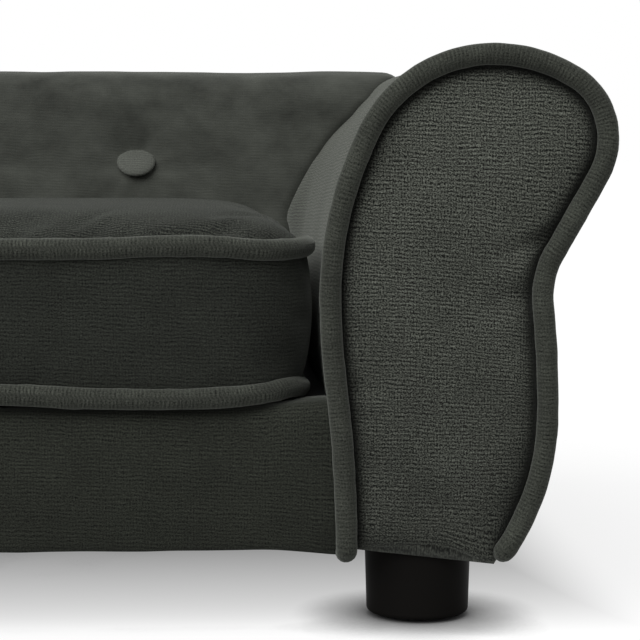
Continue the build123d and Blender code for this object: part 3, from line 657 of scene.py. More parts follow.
def twine(name):
    """Waxed twine with its strands laid at a slant."""
    material, graph = new_finish(name)
    x, y, z = place_in_mm(graph)
    lay_slant = 1.6
    strand_spacing = 1.1
    laid = y + z * lay_slant + x * lay_slant
    strands = (laid * (2 * math.pi / strand_spacing)).cosine() * 0.5 + 0.5
    wax = graph.noise(graph.stretched(y, x + z, 4.0, 3.0), 1.0, 2.0)
    light = 0.7 + strands * 0.45 + wax * 0.3
    varying = {
        "Base Color": graph.tinted(colour(66, 68, 62), light),
        "Normal": bumped(graph, strands, 0.15 * MM, 0.8),
    }
    surface(graph, varying, {"Roughness": 0.6, "Specular IOR Level": 0.35})
    return material


def zip_tape(name, middle_z):
    """Herringbone tape: its slant changes side at the teeth."""
    material, graph = new_finish(name)
    x, y, z = place_in_mm(graph)
    rib_slant = 1.2
    rib_spacing = 1.3
    thread_spacing = 0.8
    slant = x + abs(z - middle_z) * rib_slant
    ribs = (slant * (2 * math.pi / rib_spacing)).cosine() * 0.5 + 0.5
    threads = (abs(z - middle_z) * (2 * math.pi / thread_spacing)).cosine() * 0.5 + 0.5
    light = 0.7 + ribs * 0.35 + threads * 0.25
    height = ribs * 0.6 + threads * 0.4
    varying = {
        "Base Color": graph.tinted(colour(44, 46, 43), light),
        "Normal": bumped(graph, height, 0.15 * MM, 0.8),
    }
    surface(graph, varying, {"Roughness": 0.85, "Specular IOR Level": 0.2})
    return material


# %% Plastic and metal
def plastic(name, tone, roughness, grit, specular):
    """Moulded plastic whose skin is very slightly uneven."""
    material, graph = new_finish(name)
    place = graph.node("ShaderNodeTexCoord")["Object"]
    skin = graph.noise(place, 900.0, 2.0)
    flow = graph.noise(place, 25.0, 2.0)
    varying = {
        "Base Color": graph.tinted(tone, 0.9 + flow * 0.2),
        "Roughness": roughness + (flow - 0.5) * 0.12,
        "Normal": bumped(graph, skin, grit * MM, 0.5),
    }
    surface(graph, varying, {"IOR": 1.5, "Specular IOR Level": specular})
    return material


def plated_metal(name, tone, metallic, roughness):
    """Plated or lacquered metal with faint marks from tumbling."""
    material, graph = new_finish(name)
    place = graph.node("ShaderNodeTexCoord")["Object"]
    marks = graph.noise(place, 1400.0, 3.0, 0.7)
    spangle = graph.noise(place, 260.0, 2.0)
    varying = {
        "Base Color": graph.tinted(tone, 0.85 + spangle * 0.3),
        "Roughness": roughness + (marks - 0.5) * 0.25,
        "Normal": bumped(graph, marks, 0.02 * MM, 0.5),
    }
    surface(graph, varying, {"Metallic": metallic})
    return material


leg_plastic = plastic("Black moulded leg", colour(19, 18, 17), 0.45, 0.02, 0.015)
glide_plastic = plastic("Grey glide", colour(48, 48, 50), 0.6, 0.04, 0.4)
coil_plastic = plastic("Zip coil", colour(38, 39, 38), 0.4, 0.0, 0.4)
zinc_steel = plated_metal("Zinc-plated steel", colour(190, 192, 196), 1.0, 0.34)
black_lacquer = plated_metal("Black lacquered metal", colour(40, 40, 42), 0.6, 0.36)
black_sheet = black_cloth("Black non-woven cloth")
cream_foam = foam("Cream foam", 1.3)

# %% Give the CAD pieces their finishes
softwoods = [softwood(f"Softwood along {axis}", k) for k, axis in enumerate("XYZ")]
plywoods = [plywood(f"Plywood across {axis}", k) for k, axis in enumerate("XYZ")]
plain_finishes = {
    "foam": cream_foam,
    "hardboard": hardboard("Hardboard"),
    "black_cloth": black_sheet,
    "leg_plastic": leg_plastic,
    "glide_plastic": glide_plastic,
    "steel": zinc_steel,
    "tie_cord": twine("Waxed twine"),
    "zip_tape": zip_tape("Zip tape", sum(point[2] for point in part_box("zipper_coil")) / 2 / MM),
    "zip_metal": black_lacquer,
}
dressed = 0
for subpart in frame["record"]["subparts"]:
    node = subpart["node"]
    slot = subpart["material_slot"]
    low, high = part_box(node)
    spans = [high[k] - low[k] for k in range(3)]
    if slot == "softwood":
        finish = softwoods[spans.index(max(spans))]
    elif slot == "plywood":
        finish = plywoods[spans.index(min(spans))]
    else:
        finish = plain_finishes.get(slot)
    if finish is None:
        continue
    materials = frame["nodes"][node].data.materials
    materials.clear()
    materials.append(finish)
    dressed += 1
print("CAD pieces with their own finish:", dressed)

# %% [markdown]
# ## Welt cords
# A welt is a cord wrapped in a strip of the cover and sewn into a seam. It follows a path, so
# Geometry Nodes sweep a circle along an edge line. The tree keeps how far along and round the cord
# each point lies, because the strip's ribs run across the cord, and it makes the surface slightly
# uneven, as a hand-fed strip is. A curve with a bevel would be quicker but carries no such numbers.


# %% Tree that makes a cord
def new_tree(name, inputs):
    """An empty geometry tree with named inputs, given as name, socket type and starting value."""
    tree = bpy.data.node_groups.new(name, "GeometryNodeTree")
    tree.interface.new_socket("Geometry", in_out="INPUT", socket_type="NodeSocketGeometry")
    for label, kind, start in inputs:
        socket = tree.interface.new_socket(label, in_out="INPUT", socket_type=kind)
        if start is not None:
            socket.default_value = start
    tree.interface.new_socket("Geometry", in_out="OUTPUT", socket_type="NodeSocketGeometry")
    graph = Graph(tree)
    return tree, graph, graph.node("NodeGroupInput")


def close_tree(graph, made, given):
    """Ends a tree as the export needs it: real geometry with its material."""
    smooth = graph.node("GeometryNodeSetShadeSmooth", None, {"Geometry": made})["Geometry"]
    real = graph.node("GeometryNodeRealizeInstances", None, {"Geometry": smooth})["Geometry"]
    finish = {"Geometry": real, "Material": given["Material"]}
    done = graph.node("GeometryNodeSetMaterial", None, finish)["Geometry"]
    graph.node("NodeGroupOutput", None, {"Geometry": done})


cord_inputs = (
    ("Radius", "NodeSocketFloat", welt_radius * MM),
    ("Sides", "NodeSocketInt", 18),
    ("Unevenness", "NodeSocketFloat", 0.3 * MM),
    ("Material", "NodeSocketMaterial", None),
)
cord_tree, graph, given = new_tree("Welt cord", cord_inputs)
path = graph.node("GeometryNodeMeshToCurve", None, {"Mesh": given["Geometry"]})["Curve"]
far_along = graph.node("GeometryNodeSplineParameter")["Length"]
keep_float = {"data_type": "FLOAT", "domain": "POINT"}
sockets = {"Geometry": path, "Name": "cord_along", "Value": far_along}
path = graph.node("GeometryNodeStoreNamedAttribute", keep_float, sockets)["Geometry"]
sockets = {"Resolution": given["Sides"], "Radius": given["Radius"]}
ring = graph.node("GeometryNodeCurvePrimitiveCircle", None, sockets)["Curve"]
sockets = {"Geometry": ring, "Name": "cord_round", "Value": far_along}
ring = graph.node("GeometryNodeStoreNamedAttribute", keep_float, sockets)["Geometry"]
sockets = {"Curve": path, "Profile Curve": ring, "Fill Caps": True}
tube = graph.node("GeometryNodeCurveToMesh", None, sockets)["Mesh"]
read_float = {"data_type": "FLOAT"}
round_it = graph.node("GeometryNodeInputNamedAttribute", read_float, {"Name": "cord_round"})
along_it = graph.node("GeometryNodeInputNamedAttribute", read_float, {"Name": "cord_along"})
sockets = {0: round_it["Attribute"], 1: along_it["Attribute"]}
pair = graph.node("ShaderNodeCombineXYZ", None, sockets)[0]
keep_vector = {"data_type": "FLOAT_VECTOR", "domain": "POINT"}
sockets = {"Geometry": tube, "Name": "weave", "Value": pair}
tube = graph.node("GeometryNodeStoreNamedAttribute", keep_vector, sockets)["Geometry"]
here = graph.node("GeometryNodeInputPosition")["Position"]
lumps = graph.noise(here, 90.0, 2.0)
outwards = graph.node("GeometryNodeInputNormal")["Normal"]
amount = (lumps - 0.5) * given["Unevenness"] * 2
sockets = {0: outwards, "Scale": amount}
offset = graph.node("ShaderNodeVectorMath", {"operation": "SCALE"}, sockets)[0]
tube = graph.node("GeometryNodeSetPosition", None, {"Geometry": tube, "Offset": offset})["Geometry"]
close_tree(graph, tube, given)
print("cord tree with", len(cord_tree.nodes), "nodes")


# %% Run a tree on an edge line
def path_object(name, line, closed=False):
    """A line of edges for a tree to work along."""
    count = len(line)
    edges = [(k, k + 1) for k in range(count - 1)]
    if closed:
        edges.append((count - 1, 0))
    mesh = bpy.data.meshes.new(name)
    mesh.from_pydata((np.asarray(line, float) * MM).tolist(), edges, [])
    piece = bpy.data.objects.new(name, mesh)
    bpy.context.scene.collection.objects.link(piece)
    return piece


def grown(piece, tree, settings):
    """Runs a tree on a piece with the given inputs and keeps the result as a plain mesh."""
    modifier = piece.modifiers.new(tree.name, "NODES")
    modifier.node_group = tree
    for item in tree.interface.items_tree:
        if item.in_out == "INPUT" and item.name in settings:
            modifier[item.identifier] = settings[item.name]
    bpy.context.view_layer.update()
    evaluated = piece.evaluated_get(bpy.context.evaluated_depsgraph_get())
    mesh = bpy.data.meshes.new_from_object(evaluated)
    mesh.name = piece.name
    piece.modifiers.remove(modifier)
    bare = piece.data
    piece.data = mesh
    bpy.data.meshes.remove(bare)
    return piece


# %% Arm welts
welt_under = 8.4
welt_bend = 6.0
welt_tail = 9.0
welt_wander = 0.45


def bent_back(end, way):
    """The end of a cord that leaves its line and bends back under the base."""
    bend = []
    for angle in np.linspace(0, math.pi / 2, 8)[1:]:
        bend.append(end + way * welt_bend * math.sin(angle) + (0, welt_bend * (1 - math.cos(angle)), 0))
    for share in (0.35, 0.7, 1.0):
        bend.append(bend[6] + (0, welt_tail * share, 0))
    return np.array(bend)


def arm_welt_line():
    """The cord's middle round the front of the right arm, with both ends bent under the base."""
    lowest = base_height - welt_under + welt_radius
    inner_low = lowest + welt_bend
    outer_low = lowest + welt_bend * 0.75
    line = np.insert(arm_line(welt_radius, inner_low, outer_low, 2.5), 1, front_y + welt_radius, axis=1)
    start_way = (line[0] - line[2]) / np.linalg.norm(line[0] - line[2])
    end_way = (line[-1] - line[-3]) / np.linalg.norm(line[-1] - line[-3])
    start_bend = bent_back(line[0], start_way)[::-1]
    return np.vstack([start_bend, line, bent_back(line[-1], end_way)])


wander_size = 30.0
wander_floor = -0.5
welt_path = arm_welt_line()
for side, label in ((1, "right"), (-1, "left")):
    line = welt_path * (side, 1, 1)
    line[:, 1] += welt_wander * np.maximum(ripple(line, wander_size, 3 + side), wander_floor)
    cord = path_object(f"{label}_arm_welt", line)
    grown(cord, cord_tree, {"Material": arm_welt_cloth, "Unevenness": 0.5 * MM})
    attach(cord, "frame")
    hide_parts(f"arm_welt_{label}")
print("arm welts", round(float(lengths_along(welt_path)[-1])), "mm long each")

# %% [markdown]
# ## Arm covers
# One strip of cloth runs from the seat over the roll and down to the base. It lies on foam, so it is
# the arm's outline carried from front to back, pulled a little between the seam at the front and the
# tacks at the rear. Where the seam holds it, small gathers run out of the welt and fade.

# %% Arm cover strips
cover_front_y = -213.9
gather_depth = 0.9
gather_reach = 16.0
gather_size = 9.0
gather_slant = 0.2
cover_step = 5.0
near_rows_reach = 30
far_rows_start = 36
turn_under = 16.0
swell_heights = (150, 190, 203.6, 210, 222.6, 240.3, 243)
swell_sizes = (0, 4, 9.1, 8.2, 5.1, 0.5, 0)
hollow_heights = (240.3, 256, 270.5, 284, 293, 299.5)
hollow_sizes = (0, 4.4, 10.7, 10.3, 4.5, 0)
wadding_gap = 2.0
wadding_front_y = -203.0
wadding_rear_gap = 0.4
wadding_core_gap = 0.3
core_inset = 16.6
cover_start_z = deck_height - 8.0
cover_end_z = base_height + 1.0
cover_profile = arm_line(cover_inset, cover_start_z, cover_end_z, cover_step)
foot = cover_profile[-1]
hem_points = np.array([foot + (-1.5, -1.6), foot + (-turn_under, -1.6)])
cover_profile = np.vstack([cover_profile, hem_points])
cover_normals = side_normals(cover_profile)
cover_lengths = lengths_along(cover_profile)
cover_top = int(np.argmax(cover_profile[:, 1]))
near_rows = np.linspace(cover_front_y, cover_front_y + near_rows_reach, 13)
far_rows = np.linspace(cover_front_y + far_rows_start, outside_board_y, 68)
cover_depths = np.concatenate([near_rows, far_rows])


def leaned(heights, depth):
    """How far out the arm's inner side lies beyond its front outline, at heights of one depth."""
    swell = np.interp(heights, swell_heights, swell_sizes)
    swell *= smooth_step(depth, 40, 108) * (1 - smooth_step(depth, 140, 205))
    hollow = np.interp(heights, hollow_heights, hollow_sizes)
    hollow *= smooth_step(depth, -190, 100) * (1 - smooth_step(depth, 206, 218))
    return hollow - swell


def arm_cover_points(seed):
    """Points of the right arm's cover, with gathers behind the welt and a soft uneven surface."""
    points = []
    weave = []
    for depth in cover_depths:
        flat = np.insert(cover_profile, 1, depth, axis=1)
        slanted = np.stack([cover_lengths, 0 * cover_lengths + depth * gather_slant, 0 * cover_lengths], 1)
        gathers = ripple(slanted, gather_size, seed)
        fade = math.exp(-(depth - cover_front_y) / gather_reach)
        soft = 0.8 * ripple(flat, 55.0, seed + 2)
        rise = gather_depth * gathers * fade + soft * (1 - fade) * 0.8 - 0.5 * fade
        moved = cover_profile + cover_normals * rise[:, None]
        moved[:cover_top, 0] += leaned(cover_profile[:cover_top, 1], depth)
        points.append(np.insert(moved, 1, depth, axis=1))
        weave.append(np.stack([0 * cover_lengths + depth, cover_lengths], axis=1))
    return np.vstack(points), np.vstack(weave)


for side, label in ((1, "right"), (-1, "left")):
    points, weave = arm_cover_points(8 + side)
    if side < 0:
        points = mirrored(points)
    faces = grid_faces(len(cover_depths), len(cover_profile))
    cover = make_object(f"{label}_arm_cover", points, faces, weave)
    face_towards(cover, (0, 0, 1))
    give_thickness(cover, fabric)
    cover.data.materials.append(arm_cloth)
    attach(cover, "frame")
    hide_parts(f"arm_cover_{label}")

# %% Foam wadding under the covers
wadding_last = len(cover_profile) - len(hem_points)
wadding_columns = np.arange(0, wadding_last, 2)
wadding_depths = np.linspace(wadding_front_y, outside_board_y - wadding_rear_gap, 28)


def wadding_points():
    """A closed layer between the arm's core and its cover, as rings of outer and inner points."""
    rings = []
    for depth in wadding_depths:
        outer = cover_profile - cover_normals * wadding_gap
        outer[:cover_top, 0] += leaned(cover_profile[:cover_top, 1], depth)
        inner = cover_profile - cover_normals * (core_inset - cover_inset - wadding_core_gap)
        outer = outer[wadding_columns]
        inner = inner[wadding_columns]
        ring = np.vstack([outer, inner[::-1]])
        rings.append(np.insert(ring, 1, depth, axis=1))
    return rings


for side, label in ((1, "right"), (-1, "left")):
    rings = wadding_points()
    points = np.vstack(rings)
    if side < 0:
        points = mirrored(points)
    faces = grid_faces(len(rings), len(rings[0]), loop_columns=True)
    last = len(points) - len(rings[0])
    half = len(rings[0]) // 2
    for start in (0, last):
        for k in range(half - 1):
            a = start + k
            b = start + len(rings[0]) - 1 - k
            faces.append((a, a + 1, b - 1, b))
    wadding = make_object(f"{label}_arm_wadding", points, faces)
    face_outwards(wadding)
    wadding.data.materials.append(cream_foam)
    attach(wadding, "frame")
    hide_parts(f"arm_padding_{label}")
print("wadding with", len(wadding.data.polygons), "faces each")

# %% [markdown]
# ## Arm facings
# The front of each arm is a shaped pad inside the welt. A flat face would look like board, and a
# simulation would lose the sharp line where it meets the cord. So its outline is filled with even
# triangles, and each point comes forward by how far it is from the seam, which gives the crown, the
# rolled edge and the dark groove at the welt. Soft pull folds run in from both sides of the waist and
# one rises from the foot. At its outer end the hem hangs a few millimetres lower.


# %% Fill an outline with even triangles
def filled_outline(outline, spacing):
    """Flat points and triangles inside a closed outline, and each point's distance from it."""
    low = outline.min(axis=0)
    high = outline.max(axis=0)
    spots = []
    row = 0
    height = low[1]
    while height < high[1]:
        shift = spacing / 2 if row % 2 else 0
        spots.extend((x, height) for x in np.arange(low[0] + shift, high[0], spacing))
        row += 1
        height += spacing * 0.866
    spots = np.array(spots)
    start = outline
    end = np.roll(outline, -1, axis=0)
    inside = np.zeros(len(spots), bool)
    for (x0, z0), (x1, z1) in zip(start, end):
        crosses = (z0 > spots[:, 1]) != (z1 > spots[:, 1])
        if z1 != z0:
            inside ^= crosses & (spots[:, 0] < (x1 - x0) * (spots[:, 1] - z0) / (z1 - z0) + x0)
    spots = spots[inside]
    spots = spots[distance_to(outline, spots) > spacing * 0.55]
    given = [Vector(point) for point in np.vstack([outline, spots])]
    edges = [(k, (k + 1) % len(outline)) for k in range(len(outline))]
    points, _, triangles, *_ = delaunay_2d_cdt(given, edges, [], 1, 1e-6)
    flat = np.array([tuple(point) for point in points])
    return flat, [tuple(face) for face in triangles], distance_to(outline, flat)


def distance_to(outline, spots):
    """How far each spot is from a closed outline."""
    best = np.full(len(spots), np.inf)
    end = np.roll(outline, -1, axis=0)
    for start, way in zip(outline, end - outline):
        share = np.clip(((spots - start) @ way) / max(way @ way, 1e-9), 0, 1)
        best = np.minimum(best, np.linalg.norm(spots - start - share[:, None] * way, axis=1))
    return best


def boundary_loop(faces):
    """The open edges of a set of faces, each in its face's direction."""
    seen = {}
    for face in faces:
        for a, b in zip(face, face[1:] + face[:1]):
            seen[(a, b)] = True
    return [(a, b) for a, b in seen if (b, a) not in seen]


# %% Arm facing pads
facing_inset = 9.6
facing_edge_y = -210.8
facing_roll = 8.0
facing_roll_width = 3.4
facing_crown = 2.6
facing_crown_width = 45.0
facing_back_y = -206.0
facing_droop = 8.8
droop_from = 276.0
droop_to = 306.0
droop_height = 24
rib_sag = 0.0008
rib_sag_from = 250.0
facing_outline = arm_line(facing_inset, base_height - 2.0, base_height - 2.0, 2.5)
facing_flat, facing_faces, facing_distance = filled_outline(facing_outline, 2.6)


def fold(points, start, end, width, depth):
    """A soft ridge between two spots on a flat pad, which dies out towards its end."""
    start = np.array(start, float)
    way = np.array(end, float) - start
    share = np.clip(((points - start) @ way) / (way @ way), 0, 1)
    away = np.linalg.norm(points - start - share[:, None] * way, axis=1)
    return depth * np.exp(-((away / width) ** 2)) * (1 - share) ** 1.5


facing_folds = (
    ((340, 205), (296, 192), 4.6, -5.0),
    ((338, 191), (290, 180), 6.5, 2.4),
    ((336, 177), (288, 168), 4.4, -2.8),
    ((338, 165), (284, 152), 6.5, 1.8),
    ((337, 152), (300, 138), 5.0, -1.2),
    ((228, 127), (266, 123), 3.2, -1.5),
    ((228, 120), (262, 115), 3.6, 1.0),
    ((228, 112), (254, 109), 3.0, -0.8),
    ((231, 176), (258, 180), 4.0, -0.7),
    ((340, 117), (326, 110), 3.0, -1.3),
    ((341, 111), (328, 103), 2.6, 1.0),
    ((341, 103), (327, 97), 3.0, -0.9),
    ((236, 100), (262, 96), 5.0, 0.5),
    ((318, 60), (300, 84), 6.0, -0.6),
)


def facing_points(seed):
    """Points of the right facing's front."""
    rolled = facing_roll * (1 - np.exp(-facing_distance / facing_roll_width))
    crowned = facing_crown * smooth_step(facing_distance, 0, facing_crown_width)
    places = np.insert(facing_flat, 1, 0, axis=1)
    soft = 1.3 * ripple(places, 46.0, seed) + 0.35 * ripple(places, 15.0, seed + 1)
    seam = 0.35 * ripple(places, 7.0, seed + 2) * np.exp(-facing_distance / 6.0)
    pulled = sum(fold(facing_flat, *one) for one in facing_folds)
    inner = smooth_step(facing_distance, 0, 5.0)
    depth = facing_edge_y - rolled - crowned - (soft + pulled) * inner - seam
    hanging = facing_flat.copy()
    lowness = 1 - smooth_step(facing_flat[:, 1], base_height - 2, base_height + droop_height)
    hanging[:, 1] -= facing_droop * smooth_step(facing_flat[:, 0], droop_from, droop_to) * lowness
    return np.insert(hanging, 1, depth, axis=1)


def closed_pad(front, faces, back_y):
    """A pad from its front surface: side walls and a flat back are added."""
    count = len(front)
    back = front.copy()
    back[:, 1] = back_y
    points = np.vstack([front, back])
    walls = [(b, a, a + count, b + count) for a, b in boundary_loop(faces)]
    rear = [tuple(corner + count for corner in reversed(face)) for face in faces]
    return points, list(faces) + walls + rear


for side, label in ((1, "right"), (-1, "left")):
    points, faces = closed_pad(facing_points(20 + side), facing_faces, facing_back_y)
    sunk = facing_flat.copy()
    pull = smooth_step(sunk[:, 1], 100, 150) * (1 - smooth_step(sunk[:, 1], 200, 250))
    sunk[:, 1] += rib_sag * np.maximum(sunk[:, 0] - rib_sag_from, 0) ** 2 * pull
    weave = np.vstack([sunk, sunk])
    if side < 0:
        points = mirrored(points)
    facing = make_object(f"{label}_arm_facing", points, faces, weave)
    face_outwards(facing)
    facing.data.materials.append(facing_cloth)
    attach(facing, "frame")
    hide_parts(f"arm_facing_{label}")
print("facings with", len(facing.data.polygons), "faces each")

# %% [markdown]
# ## Front rail
# Under the cushion the front rail is padded with thin foam. Its section is drawn once, a bowed face,
# a round upper edge and a hem under the base, and carried from arm to arm. The cloth hangs a little
# lower beside the arms, where it is folded behind the welts.

# %% Padded rail
rail_face_y = -215.0
rail_edge_radius = 10.0
rail_bow = 1.5
rail_foot_z = 41.7
rail_hem_dip = 3.0
rail_corner_rise = 4.0
rail_corner_reach = 30.0
rail_overlap = 3.0
rail_stand_off = 0.3
rail_over_y = -198.0
rail_rear_y = panel_front_y - 0.5
rail_rear_z = 107.0
rail_rear_rise = 2.0
rail_hem_folds = ((-211.0, -0.4), (-213.0, -0.2))
rail_soft_height = 45
rail_hem_height = 12
rail_dip_reach = 22.0
rail_top_band = (35.0, 2.0)


def arm_inner_edge(height, inset):
    """How far out the arm's inner side is at a height."""
    line = arm_line(inset, 30.0, 40.0, 2.0)
    top = int(np.argmax(line[:, 1]))
    return np.interp(height, line[: top + 1, 1], line[: top + 1, 0])


def rail_profile():
    """The rail's section as (depth, height), closed, from the hem up the face and over."""
    shoulder = deck_height - rail_edge_radius
    heights = np.linspace(rail_foot_z, shoulder, 18)
    middle = (rail_foot_z + shoulder) / 2
    bow = rail_bow * ((heights - middle) / (shoulder - middle)) ** 2
    face = np.stack([rail_face_y + bow, heights], axis=1)
    edge = walk(face[-1], 90, [(rail_edge_radius, -90)], 2.5)
    over = np.array([(rail_over_y, deck_height), (front_rail_back_y, deck_height)])
    rear_top = [(front_rail_back_y, rail_rear_z), (rail_rear_y, rail_rear_z)]
    rear = np.array([*rear_top, (rail_rear_y, rail_foot_z + rail_rear_rise)])
    folds = [(depth, rail_foot_z + rise) for depth, rise in rail_hem_folds]
    hem = np.array([(rail_rear_y, rail_foot_z), *folds])
    return np.vstack([face, edge[1:], over, rear, hem])


rail_section = rail_profile()
rail_columns = 161
rail_shares = np.linspace(-1, 1, rail_columns)
rail_ends = arm_inner_edge(rail_section[:, 1], 0) + rail_overlap
rail_lengths = lengths_along(rail_section)
points = []
weave = []
for share in rail_shares:
    x = share * rail_ends
    from_arm = rail_ends - np.abs(x)
    lowness = 1 - smooth_step(rail_section[:, 1], rail_foot_z, rail_foot_z + rail_soft_height)
    dip = rail_hem_dip * np.exp(-((from_arm / rail_dip_reach) ** 2)) * lowness
    facing_out = smooth_step(-rail_section[:, 0], 211.0, 214.5)
    place = np.stack([x, rail_section[:, 0], rail_section[:, 1]], axis=1)
    soft = 0.7 * ripple(place, 48.0, 31) + 0.2 * ripple(place, 15.0, 32)
    hem_wave = 0.5 * ripple(place, 20.0, 33) * lowness
    place[:, 1] -= (soft + rail_stand_off) * facing_out
    at_hem = 1 - smooth_step(rail_section[:, 1], rail_foot_z, rail_foot_z + rail_hem_height)
    place[:, 2] -= dip + hem_wave * at_hem
    highness = smooth_step(rail_section[:, 1], deck_height - rail_top_band[0], deck_height - rail_top_band[1])
    place[:, 2] += rail_corner_rise * np.exp(-((from_arm / rail_corner_reach) ** 2)) * highness
    points.append(place)
    weave.append(np.stack([x, rail_lengths], axis=1))
rail_faces = grid_faces(rail_columns, len(rail_section), loop_columns=True)
rail = make_object("front_rail_pad", np.vstack(points), rail_faces, np.vstack(weave))


def cap_ends(piece, rows, columns):
    """Closes the two ends of a piece that was made as rows of closed sections."""
    work = bmesh.new()
    work.from_mesh(piece.data)
    work.verts.ensure_lookup_table()
    for row in (0, rows - 1):
        ring = [work.verts[row * columns + k] for k in range(columns)]
        work.faces.new(ring)
    bmesh.ops.recalc_face_normals(work, faces=work.faces)
    work.to_mesh(piece.data)
    work.free()


cap_ends(rail, rail_columns, len(rail_section))
rail.data.materials.append(rail_cloth)
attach(rail, "frame")
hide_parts("rail_cover", "rail_padding")
print("front rail with", len(rail.data.polygons), "faces")

# %% [markdown]
# ## Buttoned back
# The back is foam under one cloth, with three buttons pulled in. Its section is carried from arm to
# arm, and each row ends where it meets the arm, so the pad is scribed round the roll as a fitter
# would do. Every button draws the cloth into a soft hollow with small pleats round it, deeper above
# the button than below, and a faint crease runs out of it to both sides. These are smooth sums of
# bells and waves on the points.

# %% Section of the back
seat_back_y = 106.0
back_start_z = 118.0
back_moves = ((700.0, -13.0), (30.0, -67.0))
back_top_radius = 180.0
back_top_turn = -23.2
back_reach_x = 291.0
back_lift = 1.7
button_lean = 5.0
button_lean_reach = 15.0
button_spacing = 112.0
button_z = 239.0
button_face_y = 116.5
tuft_depth = 3.8
tuft_width = 15.0
pleat_count = 9
pleat_depth = 0.45
pleat_ring = 17.0
pleat_ring_width = 9.0
crease_depth = 1.1
pull_drop = -2.0
pull_height = 5.0
pull_middle = 24.0
pull_width = 26.0
back_foot_gap = 0.2
back_foot_z = deck_height + back_foot_gap
back_fade_start = deck_height + 5
back_fade_end = deck_height + 40
back_soft_middle = 0.4
back_soft_share = 0.9
back_rear_z = 200.0
back_rear_foot_y = 160.0
back_overlap = 2.5
back_tuck = 3.0
back_tuck_width = 9.0


def back_profile():
    """The back's section as (depth, height) from the seat over the top, then down the rear."""
    front = walk((seat_back_y, back_start_z), 90, [*back_moves, (back_top_radius, back_top_turn)], 3.6)
    front = front[front[:, 0] <= outside_board_y]
    foot = np.array([(seat_back_y, back_foot_z)])
    end = np.array([(outside_board_y, front[-1][1])])
    rear_line = [(outside_board_y, back_rear_z), (outside_board_y, back_foot_z)]
    rear = np.array([*rear_line, (back_rear_foot_y, back_foot_z)])
    section = np.vstack([foot, front, end, rear])
    section[:, 1] += back_lift * smooth_step(section[:, 1], 245.0, 296.0)
    return section


back_section = back_profile()
back_rear_points = 3
back_visible = len(back_section) - back_rear_points
back_normals = side_normals(back_section)
back_lengths = lengths_along(back_section)
back_columns = 191
back_meets = arm_inner_edge(np.minimum(back_section[:, 1], 299.5), cover_inset)
back_meets += np.array([float(leaned(z, min(y, 140.0))) for y, z in back_section])
back_ends = np.minimum(back_meets + back_overlap, back_reach_x)


def tuft_hollow(x, z):
    """How far the cloth is drawn in round the buttons at a spot on the back's face."""
    total = np.zeros_like(x)
    for number in (-1, 0, 1):
        side_way = x - number * button_spacing
        up_way = z - button_z
        away = np.hypot(side_way, up_way * 1.1)
        angle = np.arctan2(up_way, side_way)
        hollow = tuft_depth / (1 + (away / tuft_width) ** 2.1)
        ring = np.exp(-(((away - pleat_ring) / pleat_ring_width) ** 2))
        pleats = pleat_depth * ring * np.cos(pleat_count * angle + 1.3 * number + np.sin(2 * angle))
        beside_button = np.exp(-((np.abs(side_way) - pull_middle) / pull_width) ** 2)
        side_pull = crease_depth * bump_at(up_way, pull_drop, pull_height) * beside_button
        lean = button_lean * np.clip(up_way / 12.0, -1.1, 1.1) * np.exp(-((away / button_lean_reach) ** 2))
        total += hollow + pleats + side_pull + lean
    return total


points = []
weave = []
for share in np.linspace(-1, 1, back_columns):
    x = share * back_ends
    place = np.stack([x, back_section[:, 0], back_section[:, 1]], axis=1)
    on_face = np.zeros(len(place))
    on_face[:back_visible] = 1
    face_only = on_face * (1 - smooth_step(back_section[:, 0], 128.0, 150.0))
    low_fade = smooth_step(back_section[:, 1], back_fade_start, back_fade_end)
    hollow = tuft_hollow(x, back_section[:, 1]) * face_only * low_fade
    edge = np.clip((back_tuck_width - (back_ends - np.abs(x))) / back_tuck_width, 0, 1)
    soft = 1.2 * ripple(place, 60.0, 41) + 0.35 * ripple(place, 22.0, 42)
    unevenness = (soft - back_soft_middle) * back_soft_share * low_fade
    sink = hollow + back_tuck * edge ** 2 - unevenness
    place[:, 1] -= back_normals[:, 0] * sink * on_face
    place[:, 2] -= back_normals[:, 1] * sink * on_face
    points.append(place)
    weave.append(np.stack([x, back_lengths], axis=1))
back_points = np.vstack(points)
back_points[:, 1] = np.minimum(back_points[:, 1], outside_board_y)
back_faces = grid_faces(back_columns, len(back_section), loop_columns=True)
back = make_object("seat_back_pad", back_points, back_faces, np.vstack(weave))
cap_ends(back, back_columns, len(back_section))
back.data.materials.append(back_cloth)
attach(back, "frame")
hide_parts("back_cover", "back_padding")
print("back pad with", len(back.data.polygons), "faces, top at", round(back_points[:, 2].max(), 1))

# %% [markdown]
# ## Buttons
# A button is a tin cap covered with the same cloth. The pull of its tie tips it, so its face looks
# up a little. A profile is turned round the button's own axis, and the cloth over it stays plain
# except for the fine creases where it is gathered under the rim.

# %% Cloth-covered buttons
button_profile = (
    (0.0, 0.0),
    (5.0, 0.1),
    (9.5, 0.2),
    (12.0, 0.5),
    (12.9, 1.3),
    (12.9, 2.2),
    (12.2, 3.2),
    (10.2, 3.9),
    (6.5, 4.4),
    (2.8, 4.6),
    (0.0, 4.65),
)
button_tilt = math.radians(43.0)
button_rise = 4.0
button_seat_y = button_face_y + button_rise
button_sides = 40
gather_count = 20


